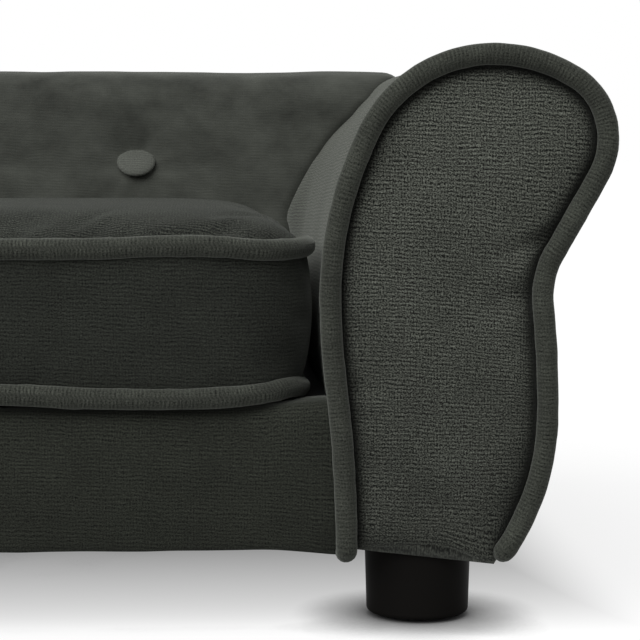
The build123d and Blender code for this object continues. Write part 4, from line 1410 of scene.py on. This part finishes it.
def turned_button(x):
    """Points, faces and weave of one button on its tilted axis."""
    out = np.array([0.0, -math.cos(button_tilt), math.sin(button_tilt)])
    up = np.array([0.0, math.sin(button_tilt), math.cos(button_tilt)])
    middle = np.array([x, button_seat_y, button_z])
    points = []
    weave = []
    for radius, height in button_profile:
        for k in range(button_sides):
            angle = 2 * math.pi * k / button_sides
            creased = radius + 0.12 * math.cos(gather_count * angle) * (height < 2.5) * (radius > 3)
            side_way = creased * math.cos(angle)
            up_way = creased * math.sin(angle)
            points.append(middle + np.array([side_way, 0, 0]) + up * up_way + out * height)
            weave.append((side_way, up_way + x))
    faces = grid_faces(len(button_profile), button_sides, loop_columns=True)
    return np.array(points), faces, np.array(weave)


for label, number in (("left", -1), ("centre", 0), ("right", 1)):
    points, faces, weave = turned_button(number * button_spacing)
    button = make_object(f"back_button_{label}", points, faces, weave)
    face_outwards(button)
    rounder = button.modifiers.new("Round", "SUBSURF")
    rounder.levels = 1
    rounder.render_levels = 1
    button.data.materials.append(button_cloth)
    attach(button, "frame")
    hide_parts(f"button_{label}")
print("buttons", 2 * button_profile[4][0], "mm across")

# %% [markdown]
# ## Seat cushion
# The loose cushion is a block of foam in a boxed cover: a top, a bottom and a band between them.
# Its cover is first drawn as a closed shell of even small faces, with nine tenths of its crown.
# Blender's cloth then blows it up while its seams and the strip at the zip are pinned, which gives
# the rest of the crown and its soft waves. Air alone would lift the cover much further than foam
# does, so each point keeps its direction and moves by a few millimetres at most.

# %% Outline of the cushion from above
welt_half_x = 208.54
welt_front_y = -216.4
welt_back_y = 98.4
cushion_front_corner = 48.0
cushion_back_corner = 30.0
cushion_draw_in = 2.5
cushion_bottom = 115.4
low_seam_z = 121.0
high_seam_z = 198.2
top_seam_z = 199.7
cushion_crown = 18.0
top_splay = 3.8
low_splay = 1.0
side_bulge = 5.0
side_drop = 10.0
splay_band = (15.0, 66.0)
splay_from_side = (45, 10)
perimeter_points = 232


def splayed(line, amount):
    """The outline with its two sides spread towards the arms, up to its rear corners."""
    frontness = 1 - smooth_step(line[:, 1], *splay_band)
    inner, outer = splay_from_side
    sideness = smooth_step(np.abs(line[:, 0]), welt_half_x - inner, welt_half_x - outer)
    return line + np.stack([np.sign(line[:, 0]) * amount * frontness * sideness, 0 * line[:, 1]], axis=1)


def cushion_line(grow, count):
    """The cushion from above with drawn-in sides, starting at the middle of its back."""
    half = welt_half_x + grow
    front = welt_front_y - grow
    back = welt_back_y + grow
    near = cushion_front_corner + grow
    far = cushion_back_corner + grow
    moves = [(half - far, 0), (far, 90), (back - front - far - near, 0), (near, 90), (2 * (half - near), 0)]
    moves += [(near, 90), (back - front - far - near, 0), (far, 90), (half - far, 0)]
    line = respaced(walk((0, back), 180, moves, 2.0), count + 1)[:-1]
    middle = (front + back) / 2
    reach = (back - front) / 2
    x = line[:, 0].copy()
    y = line[:, 1].copy()
    frontness = np.clip((middle - y) / reach, 0, 1) ** 4
    sideness = (np.abs(x) / half) ** 4
    line[:, 1] = y + cushion_draw_in * (1 - (x / half) ** 2) * frontness
    line[:, 0] = x - np.sign(x) * cushion_draw_in * (1 - ((y - middle) / reach) ** 2) * sideness
    return line


# %% Waves of the two seams
top_seam_xs = (-208, -186, -150, -98, -40, 10, 54, 98, 120, 131, 164, 186, 208)
top_seam_waves = (-1.0, -1.2, 0.6, 0.2, 0.8, -0.4, -0.1, 0.0, 0.7, 1.3, 1.3, -1.4, -0.9)
low_seam_xs = (-208, -197, -186, -164, -131, -98, -54, 0, 54, 98, 131, 164, 186, 197, 208)
low_seam_waves = (3.4, 3.3, 1.9, 0.2, -0.2, 0.3, 1.2, 0.9, 2.7, 0.2, -0.2, 0.1, 1.9, 3.4, 3.5)
front_band = 60.0
front_flat = 20
drop_start = 35
drop_end_y = -30.0
seam_unevenness = 0.8
seam_size = 45.0


def seam_wave(line, xs, waves, drop=0.0):
    """How far a seam is lifted at each point of the cushion's outline, or pushed down at its sides."""
    at_front = 1 - smooth_step(line[:, 1], welt_front_y + front_flat, welt_front_y + front_band)
    front = np.interp(line[:, 0], xs, waves)
    places = np.insert(line, 2, 0, axis=1)
    dropped = drop * smooth_step(line[:, 1], welt_front_y + drop_start, drop_end_y)
    behind = seam_unevenness * ripple(places, seam_size, 52) - dropped
    blended = front * at_front + behind * (1 - at_front)
    kernel = np.array([1, 3, 4, 3, 1]) / 12
    ring = np.concatenate([blended[-2:], blended, blended[:2]])
    return np.convolve(ring, kernel, "valid")


cover_line = cushion_line(-1.0, perimeter_points)
top_wave = seam_wave(cover_line, top_seam_xs, top_seam_waves, side_drop)
low_wave = seam_wave(cover_line, low_seam_xs, low_seam_waves)
print("cushion", 2 * welt_half_x, "x", welt_back_y - welt_front_y, "mm to the middle of its welts")

# %% Shell of the cushion's cover
crown_start_share = 0.9
band_rows = 14
panel_spacing = 6.4
cushion_flat, cushion_faces, cushion_distance = filled_outline(cover_line, panel_spacing)
panel_count = len(cushion_flat)
edge_count = len(cover_line)


def crown_share(line):
    """The pillow shape of the cushion's top: 0 at its seam and 1 at its middle."""
    middle = (welt_front_y + welt_back_y) / 2
    x_share = np.clip(np.abs(line[:, 0]) / (welt_half_x - 1), 0, 1)
    y_share = np.clip(np.abs(line[:, 1] - middle) / ((welt_back_y - welt_front_y) / 2 - 1), 0, 1)
    return (1 - x_share ** 10) ** 0.5 * (1 - y_share ** 5) ** 0.6


def spread_inwards(values):
    """Carries values of the edge points into the panel, fading with the distance from the edge."""
    total = np.zeros(panel_count)
    for k in range(panel_count):
        near = np.linalg.norm(cover_line - cushion_flat[k], axis=1).argmin()
        total[k] = values[near]
    return total * np.exp(-cushion_distance / 14.0)


crown = crown_share(cushion_flat)
rounded = 1 - np.exp(-cushion_distance / 7.0)
top_z = top_seam_z + spread_inwards(top_wave) + cushion_crown * crown_start_share * crown * rounded
bottom_z = np.maximum(cushion_bottom, low_seam_z - 2.0 - 3.3 * rounded + spread_inwards(low_wave))
top_points = np.insert(splayed(cushion_flat, top_splay), 2, top_z, axis=1)
bottom_points = np.insert(splayed(cushion_flat, low_splay), 2, bottom_z, axis=1)
band = []
for row in range(1, band_rows):
    share = row / band_rows
    low_edge = bottom_points[:edge_count, 2]
    high_edge = top_points[:edge_count, 2]
    spread = low_splay + (top_splay - low_splay) * share ** 2 + side_bulge * math.sin(math.pi * share)
    spread_line = splayed(cover_line, spread)
    band.append(np.insert(spread_line, 2, low_edge + (high_edge - low_edge) * share, axis=1))
shell_points = np.vstack([top_points, bottom_points, *band])
top_faces = [tuple(face) for face in cushion_faces]
bottom_faces = [tuple(corner + panel_count for corner in reversed(face)) for face in cushion_faces]
rings = [np.arange(edge_count) + panel_count]
for row in range(band_rows - 1):
    rings.append(np.arange(edge_count) + 2 * panel_count + row * edge_count)
rings.append(np.arange(edge_count))
band_faces = []
for low_ring, high_ring in zip(rings, rings[1:]):
    for k in range(edge_count):
        after = (k + 1) % edge_count
        band_faces.append((int(low_ring[k]), int(low_ring[after]), int(high_ring[after]), int(high_ring[k])))
shell_faces = top_faces + bottom_faces + band_faces
cushion = make_object("seat_cushion_cover", shell_points, shell_faces)
print("cushion shell with", len(shell_points), "points")


# %% Blow the cover up
def coordinates(mesh):
    """A mesh's points as an array in metres."""
    flat = np.zeros(len(mesh.vertices) * 3)
    mesh.vertices.foreach_get("co", flat)
    return flat.reshape(-1, 3)


def blown_up(piece, held, pressure, frames, slack):
    """The points of a closed cloth after it was blown up, with the held points kept in place."""
    group = piece.vertex_groups.new(name="held")
    for index in np.flatnonzero(held > 0):
        group.add([int(index)], float(held[index]), "REPLACE")
    cloth = piece.modifiers.new("Blown up", "CLOTH")
    settings = cloth.settings
    settings.quality = 5
    settings.mass = 0.2
    settings.tension_stiffness = 12
    settings.compression_stiffness = 8
    settings.shear_stiffness = 6
    settings.bending_stiffness = 0.4
    settings.vertex_group_mass = "held"
    settings.use_pressure = True
    settings.uniform_pressure_force = pressure
    settings.shrink_min = -slack
    settings.effector_weights.gravity = 0
    cloth.collision_settings.use_self_collision = False
    cloth.collision_settings.use_collision = False
    cloth.point_cache.frame_start = 1
    cloth.point_cache.frame_end = frames
    for number in range(1, frames + 1):
        bpy.context.scene.frame_set(number)
    evaluated = piece.evaluated_get(bpy.context.evaluated_depsgraph_get())
    after = coordinates(evaluated.to_mesh())
    evaluated.to_mesh_clear()
    piece.modifiers.remove(cloth)
    piece.vertex_groups.clear()
    bpy.context.scene.frame_set(1)
    return after


cushion_pressure = 4.0
cushion_frames = 20
cushion_slack = 0.02
top_cap = 3.0
band_cap = 2.2
bottom_cap = 0.6
zip_held_depth = 3
zip_held_half = 170
deck_gap = 0.4
before = coordinates(cushion.data)
held = np.zeros(len(shell_points))
held[:edge_count] = 1
held[panel_count : panel_count + edge_count] = 1
at_rear = shell_points[:, 1] > welt_back_y - zip_held_depth
zip_side = at_rear & (np.abs(shell_points[:, 0]) < zip_held_half)
held[zip_side] = 1
after = blown_up(cushion, held, cushion_pressure, cushion_frames, cushion_slack)
caps = np.full(len(shell_points), band_cap)
caps[:panel_count] = top_cap
caps[panel_count : 2 * panel_count] = bottom_cap
shift = after - before
size = np.linalg.norm(shift, axis=1)
limit = caps * MM
shift *= (limit * np.tanh(size / limit) / np.maximum(size, 1e-9))[:, None]
settled = before + shift
settled[:, 2] = np.maximum(settled[:, 2], (deck_height + deck_gap) * MM)
cushion.data.vertices.foreach_set("co", settled.ravel())
print("the cover moved by up to", round(float(size.max()) / MM, 1), "mm, capped")

# %% Weave and finish of the cushion
cover_round = float(np.linalg.norm(np.diff(cover_line, axis=0), axis=1).sum())
perimeter = np.arange(edge_count) * (cover_round / edge_count)
layer = cushion.data.uv_layers.new(name="weave")
finish_of_face = [0] * len(top_faces) + [2] * len(bottom_faces) + [1] * len(band_faces)
cushion.data.materials.append(seat_cloth)
cushion.data.materials.append(boxing_cloth)
cushion.data.materials.append(rear_cloth)
around = {}
for ring in rings:
    for k, index in enumerate(ring):
        around[int(index)] = perimeter[k]
for face, kind in zip(cushion.data.polygons, finish_of_face):
    face.material_index = kind
    for corner in face.loop_indices:
        index = cushion.data.loops[corner].vertex_index
        x, y, z = settled[index]
        layer.uv[corner].vector = (around[index] * MM, z) if kind == 1 else (x, y)
face_outwards(cushion)
cushion.data.polygons.foreach_set("use_smooth", [True] * len(cushion.data.polygons))
softer = cushion.modifiers.new("Softer", "SUBSURF")
softer.levels = 1
softer.render_levels = 1
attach(cushion, "seat_cushion")
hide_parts("cushion_top_panel", "cushion_boxing", "cushion_bottom_panel", "cushion_foam")
print("cushion top at", round(float(settled[:, 2].max()) / MM, 1), "mm")

# %% Cushion welts
welt_line = cushion_line(0.0, perimeter_points)
top_welt = np.insert(splayed(welt_line, top_splay), 2, high_seam_z + top_wave, axis=1)
low_welt_dip = 0.3
low_welt_z = np.maximum(low_seam_z + low_wave, low_seam_z - low_welt_dip)
low_welt = np.insert(splayed(welt_line, low_splay), 2, low_welt_z, axis=1)
for label, line in (("top", top_welt), ("bottom", low_welt)):
    cord = path_object(f"seat_cushion_{label}_welt", line, closed=True)
    grown(cord, cord_tree, {"Material": seat_welt_cloth, "Unevenness": 0.8 * MM})
    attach(cord, "seat_cushion")
    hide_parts(f"cushion_{label}_welt")
print("cushion welts made")

# %% [markdown]
# ## Rear cover
# Behind, one flat cloth is tacked over hardboard from arm to arm. Its outline joins the outlines of
# both arms and the back's top edge, filled with even triangles. It is almost flat, with rolled edges
# and a slight slackness.

# %% Outside of the back
back_edge_z = float(back_section[back_visible - 1][1])
rear_roll = 1.6
rear_stand_off = 3.0
rear_past_back = 0.4
rear_skirt_gap = 0.2
rear_foot_z = base_height + 1.0
arm_half = arm_line(cover_inset, rear_foot_z, rear_foot_z, 4.0)
top_index = int(np.argmax(arm_half[:, 1]))
crossing = int(np.argmax((arm_half[:, 1] > back_edge_z) & (np.arange(len(arm_half)) <= top_index)))
right_part = arm_half[crossing:]


def level_run(start_x, height, count):
    """Points at one height from a place on one side to the same place on the other."""
    return np.stack([np.linspace(start_x, -start_x, count), np.full(count, height)], axis=1)


across_top = level_run(right_part[0][0], back_edge_z, 90)
across_foot = level_run(-right_part[-1][0], rear_foot_z, 110)
rear_outline = np.vstack([right_part[::-1], across_top[1:-1], right_part * (-1, 1), across_foot[1:-1]])
rear_flat, rear_faces, rear_distance = filled_outline(rear_outline, 7.0)
places = np.insert(rear_flat, 1, 0, axis=1)
slack = 0.35 * ripple(places, 70.0, 61) + 0.15 * ripple(places, 25.0, 62)
rise = (1 - np.exp(-rear_distance / 2.0)) * rear_roll
rear_y = outside_board_y + rear_stand_off + rise + slack * smooth_step(rear_distance, 0, 8)
rear_front = np.insert(rear_flat, 1, np.minimum(rear_y, back_y + rear_past_back), axis=1)
rear_edges = boundary_loop(rear_faces)
edge_index = {}
skirt = []
for a, b in rear_edges:
    edge_index[a] = len(rear_front) + len(skirt)
    skirt.append((rear_front[a][0], outside_board_y + rear_skirt_gap, rear_front[a][2]))
skirt_faces = [(b, a, edge_index[a], edge_index[b]) for a, b in rear_edges]
rear_weave = np.vstack([rear_flat, [rear_flat[a] for a, b in rear_edges]])
rear = make_object("outside_back", np.vstack([rear_front, skirt]), rear_faces + skirt_faces, rear_weave)
work = bmesh.new()
work.from_mesh(rear.data)
bmesh.ops.recalc_face_normals(work, faces=work.faces)
work.to_mesh(rear.data)
work.free()
face_towards(rear, (0, 1, 0))
give_thickness(rear, fabric)
rear.data.materials.append(rear_cloth)
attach(rear, "frame")
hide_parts("outside_back_cover")
print("rear cover with", len(rear.data.polygons), "faces")

# %% [markdown]
# ## Bent wires: the zip's teeth and the staples
# The coil of a zip and a row of staples are the same job: a short bent wire, again and again along a
# path. One Geometry Nodes tree does both. It bends a wire into a flat arch, stands it in the asked
# way, and sets one at every step of the path, the zip's turned round alternately so that they mesh.

# %% Tree that sets bent wires along a path
wire_inputs = (
    ("Spacing", "NodeSocketFloat", 38.0 * MM),
    ("Start", "NodeSocketFloat", -6.0 * MM),
    ("Length", "NodeSocketFloat", 12.0 * MM),
    ("Rise", "NodeSocketFloat", 1.0 * MM),
    ("Wire", "NodeSocketFloat", 0.5 * MM),
    ("Stance", "NodeSocketVector", None),
    ("Every other turned", "NodeSocketFloat", 0.0),
    ("Scatter", "NodeSocketFloat", 0.0),
    ("Seed", "NodeSocketInt", 4),
    ("Material", "NodeSocketMaterial", None),
)
wire_tree, graph, given = new_tree("Bent wires", wire_inputs)
near_end = graph.node("ShaderNodeCombineXYZ", None, {0: given["Start"]})[0]
far_end = graph.node("ShaderNodeCombineXYZ", None, {0: given["Start"] + given["Length"]})[0]
wire = graph.node("GeometryNodeCurvePrimitiveLine", None, {"Start": near_end, "End": far_end})["Curve"]
wire = graph.node("GeometryNodeResampleCurve", None, {"Curve": wire, "Count": 7})["Curve"]
share = graph.node("GeometryNodeSplineParameter")["Factor"]
bend = (1 - abs(share * 2 - 1) ** 4) * given["Rise"]
lift = graph.node("ShaderNodeCombineXYZ", None, {2: bend})[0]
wire = graph.node("GeometryNodeSetPosition", None, {"Geometry": wire, "Offset": lift})["Geometry"]
sockets = {"Resolution": 5, "Radius": given["Wire"]}
ring = graph.node("GeometryNodeCurvePrimitiveCircle", None, sockets)["Curve"]
sockets = {"Curve": wire, "Profile Curve": ring, "Fill Caps": True}
wire = graph.node("GeometryNodeCurveToMesh", None, sockets)["Mesh"]
sockets = {"Geometry": wire, "Rotation": given["Stance"]}
wire = graph.node("GeometryNodeTransform", None, sockets)["Geometry"]
path = graph.node("GeometryNodeMeshToCurve", None, {"Mesh": given["Geometry"]})["Curve"]
sockets = {"Curve": path, "Length": given["Spacing"]}
path = graph.node("GeometryNodeResampleCurve", {"mode": "LENGTH"}, sockets)["Curve"]
way = graph.node("GeometryNodeInputTangent")["Tangent"]
along_path = graph.node("FunctionNodeAlignRotationToVector", {"axis": "X"}, {"Vector": way})["Rotation"]
number = graph.node("GeometryNodeInputIndex")["Index"]
odd = number.math("MODULO", number, 2)
angles = {2: -1 * given["Scatter"], 3: given["Scatter"], "Seed": given["Seed"]}
loose = graph.node("FunctionNodeRandomValue", {"data_type": "FLOAT"}, angles)[1]
turned = graph.node("ShaderNodeCombineXYZ", None, {1: odd * given["Every other turned"], 2: loose})[0]
turned = graph.node("FunctionNodeEulerToRotation", None, {"Euler": turned})["Rotation"]
sockets = {"Rotation": along_path, "Rotate By": turned}
turned = graph.node("FunctionNodeRotateRotation", {"rotation_space": "LOCAL"}, sockets)["Rotation"]
sockets = {"Points": path, "Instance": wire, "Rotation": turned}
set_out = graph.node("GeometryNodeInstanceOnPoints", None, sockets)["Instances"]
close_tree(graph, set_out, given)
print("wire tree with", len(wire_tree.nodes), "nodes")

# %% Teeth of the zip
tooth_pitch = 1.45
tooth_wire = 0.46
tooth_start = 0.75
coil_low, coil_high = [np.array(corner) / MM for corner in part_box("zipper_coil")]
zip_z = (coil_low[2] + coil_high[2]) / 2
teeth_y = coil_low[1] + tooth_wire
half_coil = (coil_high[2] - coil_low[2]) / 2
ends = np.array([(coil_low[0] + 1.0, teeth_y, zip_z), (coil_high[0] - 1.0, teeth_y, zip_z)])
settings = {
    "Spacing": tooth_pitch * MM,
    "Start": -tooth_start * MM,
    "Length": (half_coil - tooth_wire + tooth_start) * MM,
    "Rise": 0.55 * MM,
    "Wire": tooth_wire * MM,
    "Stance": (math.radians(-90), math.radians(-90), 0.0),
    "Every other turned": math.pi,
    "Material": coil_plastic,
}
teeth = grown(path_object("zip_teeth", ends), wire_tree, settings)
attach(teeth, "seat_cushion")
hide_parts("zipper_coil")
print("zip teeth with", len(teeth.data.polygons), "faces")

# %% [markdown]
# ## Cloths on the deck and under the base
# Two black cloths close the frame: one lies flat over the deck board under the cushion, the other is
# stapled under the base and sags a little between its staples. Both are sheets of even squares. The
# pull of each staple is a small pucker, drawn as a ripple along the edge that dies out inwards.


# %% Flat sheets
def flat_sheet(low, high, spacing):
    """An even grid of points over a rectangle, and the faces between them."""
    columns = max(2, round((high[0] - low[0]) / spacing)) + 1
    rows = max(2, round((high[1] - low[1]) / spacing)) + 1
    xs, ys = np.meshgrid(np.linspace(low[0], high[0], columns), np.linspace(low[1], high[1], rows))
    points = np.stack([xs.ravel(), ys.ravel(), np.zeros(xs.size)], axis=1)
    return points, grid_faces(rows, columns)


deck_spacing = 9.0
deck_sink = 0.35
deck_unevenness = 0.2
deck_ripple_size = 40.0
deck_low, deck_high = [np.array(corner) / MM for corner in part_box("deck_cloth")]
points, faces = flat_sheet(deck_low, deck_high, deck_spacing)
points[:, 2] = deck_high[2] - deck_sink + deck_unevenness * ripple(points, deck_ripple_size, 71)
deck_sheet = make_object("deck_sheet", points, faces)
face_towards(deck_sheet, (0, 0, 1))
give_thickness(deck_sheet, 1.0)
deck_sheet.data.materials.append(black_sheet)
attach(deck_sheet, "frame")
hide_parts("deck_cloth")

# %% Dust cover and its staples
staple_spacing = 36.0
staple_margin = 7.0
staple_sink = 0.9
dust_spacing = 5.2
dust_sag = 2.2
dust_pucker = 0.5
leg_clear = 9.5
dust_low, dust_high = [np.array(corner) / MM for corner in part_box("dust_cover")]
points, faces = flat_sheet(dust_low, dust_high, dust_spacing)
edge_gap = np.minimum(points[:, :2] - dust_low[:2], dust_high[:2] - points[:, :2])
from_edge = edge_gap.min(axis=1)
along_edge = np.where(edge_gap[:, 0] < edge_gap[:, 1], points[:, 1], points[:, 0])
middle = (dust_low + dust_high) / 2
reach = (dust_high - dust_low) / 2
across = (points - middle) / reach
sag = dust_sag * (1 - across[:, 0] ** 2) * (1 - across[:, 1] ** 2)
pucker = dust_pucker * np.cos(along_edge * 2 * math.pi / staple_spacing) * np.exp(-from_edge / 22.0)
crease = 0.5 * ripple(points, 35.0, 72)
leg_places = []
for node in ("leg_front_left", "leg_front_right", "leg_rear_left", "leg_rear_right"):
    leg_low, leg_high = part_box(node)
    leg_places.append(((leg_low[0] + leg_high[0]) / 2 / MM, (leg_low[1] + leg_high[1]) / 2 / MM))
leg_places = np.array(leg_places)
from_leg = np.linalg.norm(points[:, None, :2] - leg_places[None], axis=2).min(axis=1)
free = smooth_step(from_leg, 28.0, 60.0) * smooth_step(from_edge, 0.0, 15.0)
points[:, 2] = dust_high[2] - 0.5 - (sag + crease + pucker) * free
kept = [face for face in faces if from_leg[list(face)].min() > leg_clear]
dust = make_object("dust_cover_sheet", points, kept)
face_towards(dust, (0, 0, -1))
work = bmesh.new()
work.from_mesh(dust.data)
bmesh.ops.delete(work, geom=[vert for vert in work.verts if not vert.link_faces], context="VERTS")
work.to_mesh(dust.data)
work.free()
give_thickness(dust, 0.4)
dust.data.materials.append(black_sheet)
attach(dust, "frame")
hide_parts("dust_cover")
near_corner = dust_low + staple_margin
far_corner = dust_high - staple_margin
staple_z = dust_high[2] - staple_sink
route = [
    (near_corner[0], near_corner[1], staple_z),
    (far_corner[0], near_corner[1], staple_z),
    (far_corner[0], far_corner[1], staple_z),
    (near_corner[0], far_corner[1], staple_z),
    (near_corner[0], near_corner[1] + staple_spacing, staple_z),
]
settings = {
    "Spacing": staple_spacing * MM,
    "Start": -5.0 * MM,
    "Length": 10.0 * MM,
    "Rise": 0.5 * MM,
    "Wire": 0.4 * MM,
    "Stance": (math.pi, 0.0, 0.0),
    "Scatter": math.radians(9.0),
    "Seed": 5,
    "Material": zinc_steel,
}
staples = grown(path_object("dust_cover_staples", route), wire_tree, settings)
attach(staples, "frame")

# %% [markdown]
# ## Floor, light and background
# The picture stands on a white sweep with soft light from all round and more from above. A lamp that
# gets weaker with distance would leave the far floor grey, so a broad sun and an even world light the
# sofa. Only for the camera, for reflections and for what is seen through something is the world white
# and the floor paler. There, most of the floor's tone is a glow with a painted shadow: it is painted
# darker under the sofa and close round the feet, and the rest is paper that takes the real shadow.

# %% Floor and world
floor_reach = 30.0
floor_height = -0.0004
floor_mesh = bpy.data.meshes.new("floor")
floor_sides = ((-1, -1), (1, -1), (1, 1), (-1, 1))
floor_corners = [(floor_reach * x, floor_reach * y, floor_height) for x, y in floor_sides]
floor_mesh.from_pydata(floor_corners, [], [(0, 1, 2, 3)])
floor = bpy.data.objects.new("floor", floor_mesh)
bpy.context.scene.collection.objects.link(floor)
floor_lit = 0.45
floor_glow = 0.8
# Painted shadow: the floor's glow is darkest under the sofa, rises towards its front, is full beside and
# behind it, and is darkened round the feet.
painted_shadow_darkest = 0.38
painted_shadow_rise = 0.0027
clear_from = 270.0
clear_to = 400.0
behind_from = 190.0
behind_to = 330.0
foot_shadow_reach = 42.0
foot_shadow_power = 4.0
floor_finish, graph = new_finish("Studio floor")
rays = graph.node("ShaderNodeLightPath")
seen = rays["Is Camera Ray"].at_least(rays["Is Glossy Ray"]).at_least(rays["Is Transmission Ray"])
place = graph.node("ShaderNodeTexCoord")["Object"]
axes = graph.node("ShaderNodeSeparateXYZ", None, {0: place})
# Painted shadow: the glow's strength falls under the sofa and round the feet, where ambient occlusion darkens
# it.
painted_shadow_under_sofa = (painted_shadow_darkest - axes[1] / MM * painted_shadow_rise).at_least(painted_shadow_darkest).at_most(1.0)
beside = abs(axes[0] / MM).step_between(clear_from, clear_to)
behind = (axes[1] / MM).step_between(behind_from, behind_to)
glow_with_painted_shadow = painted_shadow_under_sofa.at_least(beside).at_least(behind) * graph.painted_shade_openness(foot_shadow_reach) ** foot_shadow_power
paper = graph.node("ShaderNodeBsdfDiffuse", None, {"Color": (1, 1, 1, 1)})
glow = graph.node("ShaderNodeEmission", None, {"Color": (1, 1, 1, 1), "Strength": glow_with_painted_shadow})
shown = graph.node("ShaderNodeMixShader", None, {0: floor_glow, 1: paper["BSDF"], 2: glow["Emission"]})
lit = graph.node("ShaderNodeBsdfDiffuse", None, {"Color": (floor_lit, floor_lit, floor_lit, 1)})
both = graph.node("ShaderNodeMixShader", None, {0: seen, 1: lit["BSDF"], 2: shown[0]})
graph.node("ShaderNodeOutputMaterial", None, {"Surface": both[0]})
floor_mesh.materials.append(floor_finish)
floor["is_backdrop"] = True

world_light = 0.52
world = bpy.data.worlds.new("Studio")
bpy.context.scene.world = world
world.use_nodes = True
world.node_tree.nodes.clear()
graph = Graph(world.node_tree)
rays = graph.node("ShaderNodeLightPath")
seen = rays["Is Camera Ray"].at_least(rays["Is Glossy Ray"]).at_least(rays["Is Transmission Ray"])
strength = seen * (1.0 - world_light) + world_light
air = graph.node("ShaderNodeBackground", None, {"Color": (1, 1, 1, 1), "Strength": strength})
graph.node("ShaderNodeOutputWorld", None, {"Surface": air["Background"]})

sun_strength = 3.0
sun_softness = 60.0
sun_height = 46.0
sun_side = -44.0
sun_data = bpy.data.lights.new("Overhead light", "SUN")
sun_data.energy = sun_strength
sun_data.angle = math.radians(sun_softness)
sun = bpy.data.objects.new("Overhead light", sun_data)
bpy.context.scene.collection.objects.link(sun)
sun.rotation_euler = (math.radians(90 - sun_height), 0, math.radians(sun_side))
bpy.context.scene.view_settings.view_transform = "Standard"
print("world", world_light, "sun", sun_strength)

# %% Sizes and the end
low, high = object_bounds()
print("visual box", [round(v / MM, 1) for v in low], [round(v / MM, 1) for v in high])
